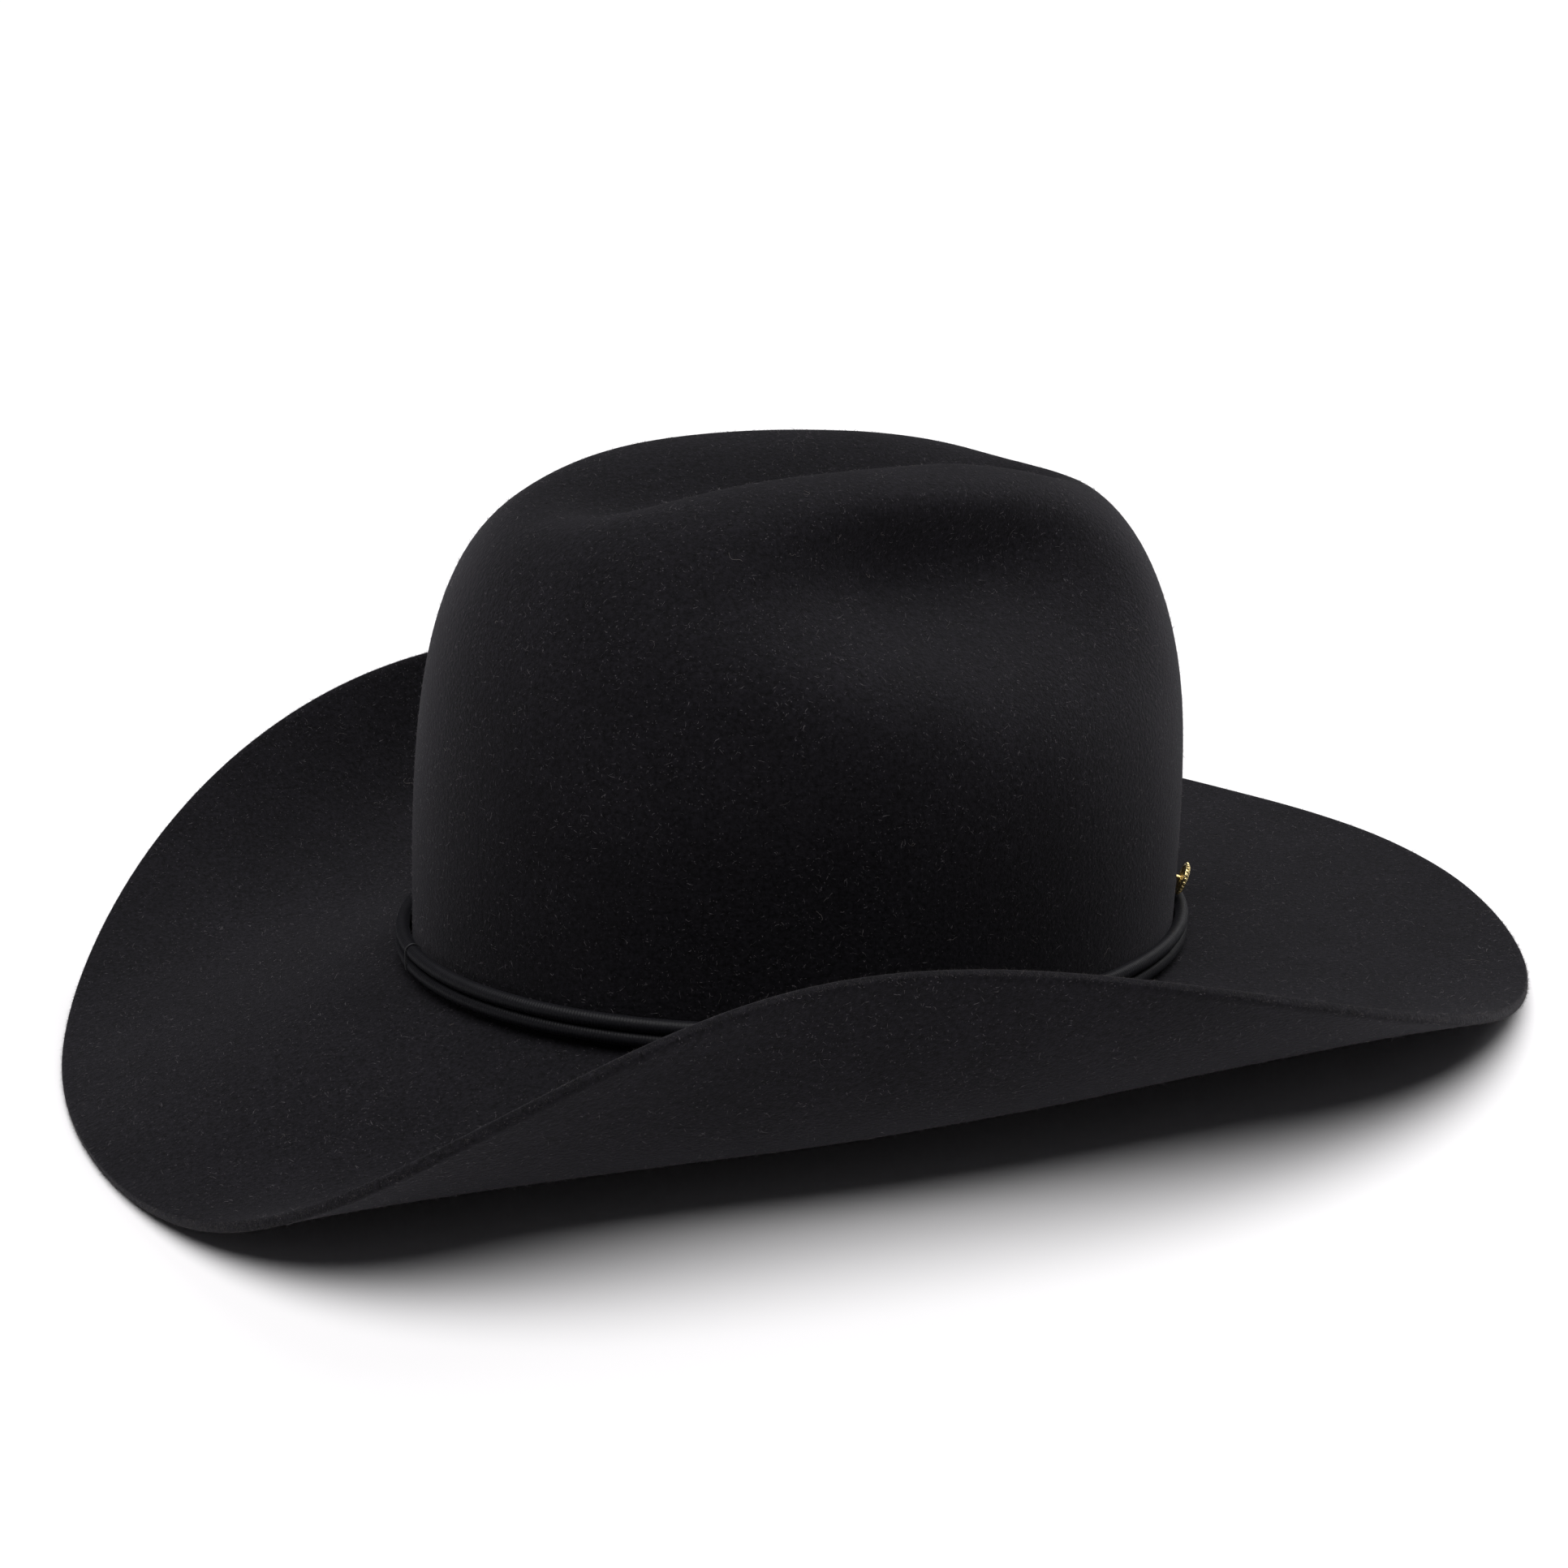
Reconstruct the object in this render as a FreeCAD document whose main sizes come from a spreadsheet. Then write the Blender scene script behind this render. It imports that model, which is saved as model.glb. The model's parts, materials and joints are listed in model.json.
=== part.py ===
import FreeCAD, Part
import Sketcher
import math
import os

# A fur felt cowboy hat: felt body, two-cord band, star ornament on a post, sweatband and liner.
# The hat is modelled upright, brim break in the plane Z = 0, +X to the front, +Y to the wearer's
# left, and every finished piece is then seated on the ground by one common placement.

os.makedirs("parts", exist_ok=True)
doc = FreeCAD.newDocument("cowboy_hat")
Vector = FreeCAD.Vector
Rotation = FreeCAD.Rotation
Placement = FreeCAD.Placement

DIMENSIONS = [
    # crown, outside, measured from the brim break
    ("crown_half_length", 106.5), ("crown_half_width", 89.0), ("crown_height", 135.2),
    ("shoulder_power", 4.04), ("dome_power", 3.6), ("wall_flare", 0.006),
    ("crown_lean", 0.019), ("top_tilt", 0.017),
    ("felt_thickness", 2.5), ("break_radius", 3.0),
    # centre crease: a trough that opens to the back and pinches shut at the front
    ("crease_back", -78.7), ("crease_front", 29.4),
    ("crease_back_width", 28.6), ("crease_front_width", 15.7),
    ("crease_back_depth", 22.1), ("crease_front_depth", 12.6),
    ("crease_opening", -68.5), ("crease_opening_fade", 9.2),
    ("crease_pinch", 68.6), ("crease_pinch_fade", 4.0),
    ("crease_reach_power", 4.0),
    # side dents, whose lower side drops further towards the front
    ("dent_fraction", 0.42), ("dent_centre", 21.5), ("dent_half_length", 59.7),
    ("dent_end_power", 2.5), ("dent_height", 110.5), ("dent_half_height", 20.9),
    ("dent_drop", 0.35),
    # brim, at five stations from the front (1) over the side (3) to the back (5)
    ("brim_width_1", 92.7), ("brim_width_2", 95.6), ("brim_width_3", 102.5),
    ("brim_width_4", 106.4), ("brim_width_5", 95.3),
    ("start_slope_1", -0.2), ("start_slope_2", -0.9), ("start_slope_3", -1.9),
    ("start_slope_4", -20.4), ("start_slope_5", -16.2),
    ("edge_slope_1", 4.3), ("edge_slope_2", 13.6), ("edge_slope_3", 70.7),
    ("edge_slope_4", 39.8), ("edge_slope_5", -19.3),
    ("roll_start_1", -0.03), ("roll_start_2", 0.08), ("roll_start_3", 0.13),
    ("roll_start_4", 0.08), ("roll_start_5", 0.12),
    ("roll_end_1", 1.0), ("roll_end_2", 1.02), ("roll_end_3", 0.99),
    ("roll_end_4", 0.96), ("roll_end_5", 1.39),
    # how the hat stands on its brim
    ("seat_pitch", 4.5),
    # band: two covered cords
    ("cord_radius", 1.9), ("cord_core_radius", 1.45), ("cord_standoff", 0.55),
    ("lower_cord_height", 3.3), ("cord_pitch", 3.85),
    ("keeper_length", 12.0), ("keeper_wall", 0.3), ("keeper_play", 0.2),
    ("tack_length", 0.6), ("tack_wall", 0.22), ("tack_play", 0.12),
    # sweatband
    ("sweatband_gap", 3.7), ("leather_thickness", 1.1), ("sweatband_height", 58.0),
    ("sweatband_bottom", 0.6), ("seam_slit", 1.2), ("seam_tape_width", 16.0),
    ("seam_tape_thickness", 0.35), ("reed_radius", 0.9), ("reed_tape_radius", 1.35),
    ("reed_height", 2.4), ("stitch_thickness", 0.4), ("stitch_width", 0.45),
    ("stitch_bottom", 3.2), ("sewn_gap", 0.02), ("seam_tape_margin", 4.0),
    ("label_length", 26.0), ("label_height", 14.0), ("label_thickness", 0.25),
    ("label_place", 57.0), ("label_bottom", 29.0),
    ("bow_loop_length", 9.2), ("bow_loop_height", 5.0), ("bow_thickness", 2.0),
    ("bow_height", 9.0), ("bow_knot_width", 3.6), ("bow_knot_height", 3.5),
    ("bow_standoff", 0.3),
    # liner
    ("liner_gap", 2.9), ("satin_thickness", 0.3), ("liner_bottom", 8.0), ("liner_bend", 60.0),
    ("liner_top", 97.0), ("liner_top_length_inset", 26.0), ("liner_top_width_inset", 37.0),
    ("piping_radius", 0.9), ("piping_gap", 0.1), ("shield_thickness", 0.25),
    ("shield_half_length", 58.0), ("shield_half_width", 38.0), ("patch_length", 46.0), ("patch_width", 26.0),
    ("patch_thickness", 0.25),
    # star ornament
    ("ornament_bearing", -21.0), ("ornament_height", 15.3), ("ornament_tilt", 18.0),
    ("ornament_radius", 4.3), ("ornament_thickness", 1.5), ("ornament_standoff", 2.05),
    ("rim_step", 0.25), ("bead_radius", 0.45), ("bead_count", 24.0),
    ("star_radius", 3.5), ("star_waist", 1.45), ("star_relief", 0.6),
    ("post_radius", 0.6), ("post_play", 0.05), ("post_tail", 0.3),
    ("clutch_radius", 2.1), ("clutch_thickness", 0.9), ("clutch_standoff", 0.95),
]

sheet = doc.addObject("Spreadsheet::Sheet", "Dimensions")
for row, (alias, value) in enumerate(DIMENSIONS, start=1):
    sheet.set("A%d" % row, alias)
    sheet.set("B%d" % row, repr(value))
    sheet.setAlias("B%d" % row, alias)
doc.recompute()


def dim(alias):
    return float(sheet.get(alias))


def bind(thing, **expressions):
    """Bind each property to an expression in which dimension names stand alone."""
    for path, expression in expressions.items():
        for alias, _ in sorted(DIMENSIONS, key=lambda entry: -len(entry[0])):
            expression = expression.replace("<%s>" % alias, "Dimensions.%s" % alias)
        thing.setExpression(path.replace("__", "."), expression)
    return thing


# ---------------------------------------------------------------- the felt's outer skin

def station_curve(prefix):
    """Even cosine series through the values at 0, 45, 90, 135 and 180 degrees from the front."""
    values = [dim("%s_%d" % (prefix, station)) for station in range(1, 6)]
    terms = []
    for order in range(5):
        total = 0.0
        for index, value in enumerate(values):
            weight = 0.5 if index in (0, 4) else 1.0
            total += weight * value * math.cos(order * index * math.pi / 4)
        terms.append(total / (4.0 if order in (0, 4) else 2.0))
    return lambda phi: sum(term * math.cos(order * phi) for order, term in enumerate(terms))


brim_width = station_curve("brim_width")
start_slope = station_curve("start_slope")
edge_slope = station_curve("edge_slope")
roll_start = station_curve("roll_start")
roll_end = station_curve("roll_end")


def sigmoid(value):
    return 1.0 / (1.0 + math.exp(-value))


def oval_point(phi, inset=0.0):
    return ((dim("crown_half_length") - inset) * math.cos(phi),
            (dim("crown_half_width") - inset) * math.sin(phi))


def oval_normal(phi):
    """Outward unit normal of the crown's oval in plan."""
    across = math.cos(phi) / dim("crown_half_length")
    along = math.sin(phi) / dim("crown_half_width")
    length = math.hypot(across, along)
    return across / length, along / length


def crown_point(phi, reach, rise):
    """A crown point: reach is its share of the oval's radius, rise its share of the height."""
    reach *= 1.0 + dim("wall_flare") * rise
    oval_x, oval_y = oval_point(phi)
    x = oval_x * reach
    y = oval_y * reach
    z = dim("crown_height") * rise * (1.0 - dim("top_tilt") * x / dim("crown_half_length") * rise)
    x += dim("crown_lean") * z
    # side dents narrow the top of the crown towards the middle plane
    along = (x - dim("dent_centre")) / dim("dent_half_length")
    above = (z - dim("dent_height")) / dim("dent_half_height")
    if above < 0:
        above /= min(max(1.0 + dim("dent_drop") * along, 0.5), 1.5)
    dent = math.exp(-abs(along) ** dim("dent_end_power") - above ** 2)
    y *= 1.0 - dim("dent_fraction") * dent
    # centre crease
    share = (x - dim("crease_back")) / (dim("crease_front") - dim("crease_back"))
    share = min(max(share, 0.0), 1.0)
    width = dim("crease_back_width") * (1 - share) + dim("crease_front_width") * share
    depth = dim("crease_back_depth") * (1 - share) + dim("crease_front_depth") * share
    window = (sigmoid((x - dim("crease_opening")) / dim("crease_opening_fade"))
              * sigmoid((dim("crease_pinch") - x) / dim("crease_pinch_fade")))
    z -= depth * window * math.exp(-(y / width) ** 2) * rise ** dim("crease_reach_power")
    return Vector(x, y, z)


def brim_profile(phi, steps=120):
    """Distance out and height of the brim's upper face at even steps from break to edge."""
    width = brim_width(phi)
    first, last = start_slope(phi), edge_slope(phi)
    begin, end = roll_start(phi), roll_end(phi)
    out, height = 0.0, 0.0
    profile = [(out, height)]
    for step in range(steps):
        share = ((step + 0.5) / steps - begin) / (end - begin)
        share = min(max(share, 0.0), 1.0)
        slope = math.radians(first + (last - first) * share * share * (3.0 - 2.0 * share))
        out += math.cos(slope) * width / steps
        height += math.sin(slope) * width / steps
        profile.append((out, height))
    return profile


TOP_ROWS = 22
WALL_ROWS = 12
BRIM_ROWS = 12
FILLET_SHARES = (0.25, 0.5, 0.75)
TURN_STEPS = 96
SHOULDER_REACH = 0.86


def meridian(phi):
    """Points of the outer skin from the crown's centre down the wall and out to the brim edge."""
    shoulder, dome = dim("shoulder_power"), dim("dome_power")
    points = []
    for row in range(TOP_ROWS + 1):
        reach = SHOULDER_REACH * row / TOP_ROWS
        points.append(crown_point(phi, reach, (1.0 - reach ** shoulder) ** (1.0 / dome)))
    shoulder_rise = (1.0 - SHOULDER_REACH ** shoulder) ** (1.0 / dome)
    foot_rise = dim("break_radius") / dim("crown_height")
    for row in range(1, WALL_ROWS + 1):
        rise = shoulder_rise + (foot_rise - shoulder_rise) * row / WALL_ROWS
        points.append(crown_point(phi, (1.0 - rise ** dome) ** (1.0 / shoulder), rise))
    profile = brim_profile(phi)
    x, y = oval_point(phi)
    out_x, out_y = oval_normal(phi)
    steps = len(profile) - 1
    first_step = round(dim("break_radius") / brim_width(phi) * steps)

    def brim_point(step):
        out, height = profile[step]
        return Vector(x + out_x * out, y + out_y * out, height)

    wall_foot, corner, brim_start = points[-1], Vector(x, y, 0), brim_point(first_step)
    for share in FILLET_SHARES:
        points.append(wall_foot * (1 - share) ** 2 + corner * (2 * share * (1 - share))
                      + brim_start * share ** 2)
    for row in range(BRIM_ROWS + 1):
        points.append(brim_point(first_step + round((steps - first_step) * row / BRIM_ROWS)))
    return points


def skin_grid():
    return [meridian(-math.pi + 2 * math.pi * turn / TURN_STEPS) for turn in range(TURN_STEPS)]


def skin_normal(grid, turn, row):
    before, after = grid[turn - 1], grid[(turn + 1) % len(grid)]
    low, high = max(row - 1, 0), min(row + 1, len(before) - 1)
    around = after[row] - before[row]
    outward = grid[turn][high] - grid[turn][low]
    return outward.cross(around).normalize()


def inner_grid(grid, thickness):
    """The skin set back by the felt's thickness, with one common point at the crown's centre."""
    rows = len(grid[0])
    centre_normal = Vector()
    for turn in range(len(grid)):
        centre_normal += skin_normal(grid, turn, 1)
    centre_normal.normalize()
    inner = []
    for turn, line in enumerate(grid):
        normals = [centre_normal] + [skin_normal(grid, turn, row) for row in range(1, rows)]
        inner.append([point + normal * thickness for point, normal in zip(line, normals)])
    return inner


def closed_face(grid):
    """One smooth surface through the grid, periodic around the hat and closed at the crown's
    centre: the rings are interpolated first, and then their control points along the meridians."""
    turns, rows = len(grid), len(grid[0])
    around = [2 * math.pi * turn / turns for turn in range(turns + 1)]
    along = [0.0]
    for row in range(1, rows):
        step = sum((line[row] - line[row - 1]).Length for line in grid) / turns
        along.append(along[-1] + step)
    rings = []
    for row in range(1, rows):
        ring = Part.BSplineCurve()
        ring.interpolate(Points=[line[row] for line in grid], PeriodicFlag=True, Parameters=around)
        rings.append(ring)
    poles = []
    for index in range(1, rings[0].NbPoles + 1):
        spoke = Part.BSplineCurve()
        points = [grid[0][0]] + [ring.getPole(index) for ring in rings]
        spoke.interpolate(Points=points, Parameters=along)
        poles.append(spoke.getPoles())
    surface = Part.BSplineSurface()
    surface.buildFromPolesMultsKnots(
        poles, rings[0].getMultiplicities(), spoke.getMultiplicities(),
        rings[0].getKnots(), spoke.getKnots(), True, False, rings[0].Degree, spoke.Degree)
    return surface.toShape()


def edge_at_rim(face):
    """The long open edge of a skin, opposite the crown's centre."""
    return max(face.Edges, key=lambda edge: edge.Length)


def felt_solid():
    outer = skin_grid()
    centre_sign = 1.0 if skin_normal(outer, 0, 1).z < 0 else -1.0
    inner = inner_grid(outer, centre_sign * dim("felt_thickness"))
    outer_face = closed_face(outer)
    inner_face = closed_face(inner)
    rim = Part.makeRuledSurface(edge_at_rim(outer_face), edge_at_rim(inner_face))
    shell = Part.makeShell([outer_face, inner_face] + rim.Faces)
    shell.sewShape()
    solid = Part.makeSolid(shell)
    if solid.Volume < 0:
        solid.reverse()
    return solid


# ---------------------------------------------------------------- seating and naming the pieces

finished = []
felt_blank = doc.addObject("Part::Feature", "felt_blank")
felt_blank.Shape = felt_solid()
pitched = felt_blank.Shape.copy()
pitched.Placement = Placement(Vector(), Rotation(Vector(0, 1, 0), dim("seat_pitch")))
bounds = pitched.BoundBox
seat = Placement(Vector(-bounds.Center.x, -bounds.Center.y, -bounds.ZMin),
                 pitched.Placement.Rotation)


def finish(thing, label, local=None):
    """Name a finished piece and seat it on the ground."""
    thing.Label = label
    thing.Placement = seat if local is None else seat.multiply(local)
    finished.append(thing)
    return thing


def wall_frame(bearing_degrees, height=0.0):
    """Local frame on the outer wall: X outward, Y around the hat, Z up."""
    phi = math.radians(bearing_degrees)
    x, y = oval_point(phi)
    out_x, out_y = oval_normal(phi)
    turn = math.degrees(math.atan2(out_y, out_x))
    return Placement(Vector(x, y, height), Rotation(Vector(0, 0, 1), turn))


# ---------------------------------------------------------------- ring-shaped pieces

def cut(name, base, tool):
    thing = doc.addObject("Part::Cut", name)
    thing.Base, thing.Tool = base, tool
    return thing


def ellipse(name, half_length, half_width, height):
    outline = doc.addObject("Part::Ellipse", name)
    return bind(outline, MajorRadius=half_length, MinorRadius=half_width,
                Placement__Base__z=height)


def oval(name, inset, height):
    """The crown's oval set in by a distance, at a height."""
    return ellipse(name, "<crown_half_length> - (%s)" % inset,
                   "<crown_half_width> - (%s)" % inset, height)


def raised(name, outline, height):
    solid = doc.addObject("Part::Extrusion", name)
    solid.Base = outline
    solid.DirMode = "Custom"
    solid.Dir = Vector(0, 0, 1)
    solid.Solid = True
    return bind(solid, LengthFwd=height)


def wall_ring(name, inset, thickness, bottom, height):
    outside = raised(name + "_outside", oval(name + "_outer", inset, bottom), height)
    hollow_inset = "%s + %s" % (inset, thickness)
    inside = raised(name + "_inside", oval(name + "_inner", hollow_inset, bottom), height)
    return cut(name, outside, inside)


def cord_ring(name, inset, height, radius):
    """A round cord that runs all the way round the oval."""
    spine = oval(name + "_spine", inset, height)
    section = doc.addObject("Part::Circle", name + "_section")
    section.Placement = Placement(Vector(), Rotation(Vector(1, 0, 0), 90))
    bind(section, Radius=radius, Placement__Base__x="<crown_half_length> - (%s)" % inset,
         Placement__Base__z=height)
    ring = doc.addObject("Part::Sweep", name)
    ring.Sections = [section]
    ring.Spine = (spine, ["Edge1"])
    ring.Solid = True
    ring.Frenet = True
    return ring


def covered_cord(cover_label, core_label, inset, height, cover_radius, core_radius):
    cover = cord_ring(cover_label + "_full", inset, height, cover_radius)
    hollow = cord_ring(cover_label + "_hollow", inset, height, core_radius)
    finish(cut(cover_label + "_tube", cover, hollow), cover_label)
    finish(cord_ring(core_label + "_ring", inset, height, core_radius), core_label)


def block(name, length, width, height, x, y, z):
    box = doc.addObject("Part::Box", name)
    return bind(box, Length=length, Width=width, Height=height, Placement__Base__x=x,
                Placement__Base__y=y, Placement__Base__z=z)


# ---------------------------------------------------------------- felt body

def ornament_frame():
    """Frame on the ornament's post where it leaves the felt: Z along the post, outward."""
    wall = wall_frame(dim("ornament_bearing"), dim("ornament_height"))
    lean = Rotation(Vector(0, 1, 0), 90.0 + dim("ornament_tilt"))
    return wall.multiply(Placement(Vector(), lean))


POST_DEPTH = "(<felt_thickness> + <clutch_standoff>) / cos(<ornament_tilt> * 1 deg)"


def felt_body():
    hole = doc.addObject("Part::Cylinder", "post_hole")
    reach = 2.0 * dim("felt_thickness")
    hole.Placement = ornament_frame().multiply(Placement(Vector(0, 0, -reach), Rotation()))
    bind(hole, Radius="<post_radius> + <post_play>", Height="4 * <felt_thickness>")
    finish(cut("felt_with_hole", felt_blank, hole), "felt_body")


# ---------------------------------------------------------------- band

CORD_INSET = "-(<cord_standoff> + <cord_radius>)"
UPPER_CORD_HEIGHT = "<lower_cord_height> + <cord_pitch>"


def slot_solid(name, radius, length):
    """A stadium-shaped bar around both cords, along the local Y axis."""
    centre = "<cord_standoff> + <cord_radius>"
    start = "-(%s) / 2" % length
    pieces = [block(name + "_middle", "2 * (%s)" % radius, length, "<cord_pitch>",
                    "%s - (%s)" % (centre, radius), start, "<lower_cord_height>")]
    for end, height in (("low", "<lower_cord_height>"), ("high", UPPER_CORD_HEIGHT)):
        rod = doc.addObject("Part::Cylinder", "%s_%s" % (name, end))
        rod.Placement = Placement(Vector(), Rotation(Vector(1, 0, 0), -90))
        bind(rod, Radius=radius, Height=length, Placement__Base__x=centre,
             Placement__Base__y=start, Placement__Base__z=height)
        pieces.append(rod)
    bar = doc.addObject("Part::MultiFuse", name)
    bar.Shapes = pieces
    bar.Refine = True
    return bar


def cord_sleeve(label, bearing, length, wall, play):
    inner_radius = "<cord_radius> + %s" % play
    outer = slot_solid(label + "_outer", "%s + %s" % (inner_radius, wall), length)
    inner = slot_solid(label + "_inner", inner_radius, "2 * %s" % length)
    finish(cut(label + "_sleeve", outer, inner), label, wall_frame(bearing))


def band():
    covered_cord("lower_band_cord", "lower_band_filler", CORD_INSET, "<lower_cord_height>",
                 "<cord_radius>", "<cord_core_radius>")
    covered_cord("upper_band_cord", "upper_band_filler", CORD_INSET, UPPER_CORD_HEIGHT,
                 "<cord_radius>", "<cord_core_radius>")
    cord_sleeve("band_keeper", 90.0, "<keeper_length>", "<keeper_wall>", "<keeper_play>")
    for number, bearing in enumerate((0.0, 180.0, -90.0), start=1):
        cord_sleeve("band_tack_%d" % number, bearing, "<tack_length>", "<tack_wall>",
                    "<tack_play>")


# ---------------------------------------------------------------- sweatband

LEATHER_INSET = "<felt_thickness> + <sweatband_gap>"
INSIDE_LEATHER = LEATHER_INSET + " + <leather_thickness>"
REED_INSET = "<felt_thickness> + <sweatband_gap> / 2"


def sweatband():
    full = wall_ring("leather_ring", LEATHER_INSET, "<leather_thickness>",
                     "<sweatband_bottom>", "<sweatband_height>")
    slit = block("seam_slit_box", "<crown_half_length>", "<seam_slit>",
                 "2 * <sweatband_height>", "-<crown_half_length>", "-<seam_slit> / 2",
                 "-<sweatband_height> / 2")
    finish(cut("leather_strip", full, slit), "sweatband_leather")

    tape_ring = wall_ring("seam_tape_ring", LEATHER_INSET + " - <seam_tape_thickness> - <sewn_gap>",
                          "<seam_tape_thickness>", "<sweatband_bottom> + <seam_tape_margin>",
                          "<sweatband_height> - 2 * <seam_tape_margin>")
    window = block("seam_tape_window", "<crown_half_length>", "<seam_tape_width>",
                   "2 * <sweatband_height>", "-<crown_half_length>",
                   "-<seam_tape_width> / 2", "-<sweatband_height> / 2")
    tape = doc.addObject("Part::Common", "seam_tape")
    tape.Base, tape.Tool = tape_ring, window
    finish(tape, "sweatband_seam_tape")

    covered_cord("reed_tape", "sweatband_reed", REED_INSET, "<reed_height>",
                 "<reed_tape_radius>", "<reed_radius>")
    finish(wall_ring("stitch_ring", INSIDE_LEATHER + " + <sewn_gap>", "<stitch_thickness>",
                     "<stitch_bottom>", "<stitch_width>"), "sweatband_stitching")

    label_ring = wall_ring("label_ring", INSIDE_LEATHER + " + <sewn_gap>", "<label_thickness>",
                           "<label_bottom>", "<label_height>")
    label_window = block("label_window", "<label_length>", "<crown_half_width>",
                         "2 * <sweatband_height>", "-<label_place>", "0", "0")
    tag = doc.addObject("Part::Common", "label_tag")
    tag.Base, tag.Tool = label_ring, label_window
    finish(tag, "size_label")


def bow():
    """Ribbon bow over the sweatband's rear seam: two loops and a knot in one piece."""
    back = "-(<crown_half_length> - (%s)) + <bow_thickness> / 2 + <bow_standoff>" % INSIDE_LEATHER
    pieces = []
    for side, sign in (("right", "-"), ("left", "")):
        loop = doc.addObject("Part::Ellipsoid", "bow_loop_" + side)
        loop.Angle1, loop.Angle2, loop.Angle3 = -90, 90, 360
        bind(loop, Radius1="<bow_loop_height> / 2", Radius2="<bow_thickness> / 2",
             Radius3="<bow_loop_length> / 2", Placement__Base__x=back,
             Placement__Base__y=sign + "<bow_loop_length> / 2", Placement__Base__z="<bow_height>")
        pieces.append(loop)
    pieces.append(block("bow_knot", "<bow_thickness>", "<bow_knot_width>",
                        "<bow_knot_height>", back + " - <bow_thickness> / 2",
                        "-<bow_knot_width> / 2", "<bow_height> - <bow_knot_height> / 2"))
    whole = doc.addObject("Part::MultiFuse", "bow_whole")
    whole.Shapes = pieces
    finish(whole, "sweatband_bow")


# ---------------------------------------------------------------- liner

def liner_cone(name, extra):
    """Solid inside one face of the side lining: upright to the bend, then drawn in to the tip."""
    low = "<felt_thickness> + <liner_gap> + %s" % extra
    sections = [
        oval(name + "_foot", low, "<liner_bottom>"),
        oval(name + "_bend", low, "<liner_bend>"),
        ellipse(name + "_top", "<crown_half_length> - <liner_top_length_inset> - %s" % extra,
                "<crown_half_width> - <liner_top_width_inset> - %s" % extra, "<liner_top>"),
    ]
    cone = doc.addObject("Part::Loft", name)
    cone.Sections = sections
    cone.Solid = True
    cone.Ruled = True
    return cone


def liner():
    finish(cut("side_lining", liner_cone("lining_outside", "0"),
               liner_cone("lining_inside", "<satin_thickness>")), "liner_side")
    tip_outline = ellipse("tip_outline", "<crown_half_length> - <liner_top_length_inset>",
                          "<crown_half_width> - <liner_top_width_inset>", "<liner_top>")
    finish(raised("tip_panel", tip_outline, "<satin_thickness>"), "liner_tip")

    piping_inset = "%s + <satin_thickness> + <piping_radius> + <piping_gap>"
    half_length = "<crown_half_length> - (%s)" % (piping_inset % "<liner_top_length_inset>")
    half_width = "<crown_half_width> - (%s)" % (piping_inset % "<liner_top_width_inset>")
    height = "<liner_top> - <piping_radius>"
    section = doc.addObject("Part::Circle", "piping_section")
    section.Placement = Placement(Vector(), Rotation(Vector(1, 0, 0), 90))
    bind(section, Radius="<piping_radius>", Placement__Base__x=half_length,
         Placement__Base__z=height)
    piping = doc.addObject("Part::Sweep", "piping_ring")
    piping.Sections = [section]
    piping.Spine = (ellipse("piping_spine", half_length, half_width, height), ["Edge1"])
    piping.Solid = True
    piping.Frenet = True
    finish(piping, "liner_piping")

    patch = doc.addObject("Part::Box", "patch_box")
    bind(patch, Length="<patch_length>", Width="<patch_width>", Height="<patch_thickness>")
    patch_corner = Vector(-dim("patch_length") / 2, -dim("patch_width") / 2,
                          dim("liner_top") - dim("patch_thickness"))
    finish(patch, "liner_label", Placement(patch_corner, Rotation()))
    shield_outline = ellipse("shield_outline", "<shield_half_length>", "<shield_half_width>",
                             "<liner_top> - <patch_thickness> - <shield_thickness>")
    finish(raised("shield_panel", shield_outline, "<shield_thickness>"), "liner_shield")


# ---------------------------------------------------------------- star ornament

def origin_item(body, role):
    return next(item for item in body.Origin.OriginFeatures if item.Role == role)


def close_lines(sketch, corners):
    count = len(corners)
    first = sketch.GeometryCount
    for index in range(count):
        start, end = corners[index], corners[(index + 1) % count]
        sketch.addGeometry(Part.LineSegment(start, end), False)
    for index in range(count):
        following = first + (index + 1) % count
        sketch.addConstraint(Sketcher.Constraint("Coincident", first + index, 2, following, 1))


def attached_sketch(body, name, role):
    sketch = body.newObject("Sketcher::SketchObject", name)
    sketch.AttachmentSupport = [(origin_item(body, role), "")]
    sketch.MapMode = "FlatFace"
    return sketch


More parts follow.
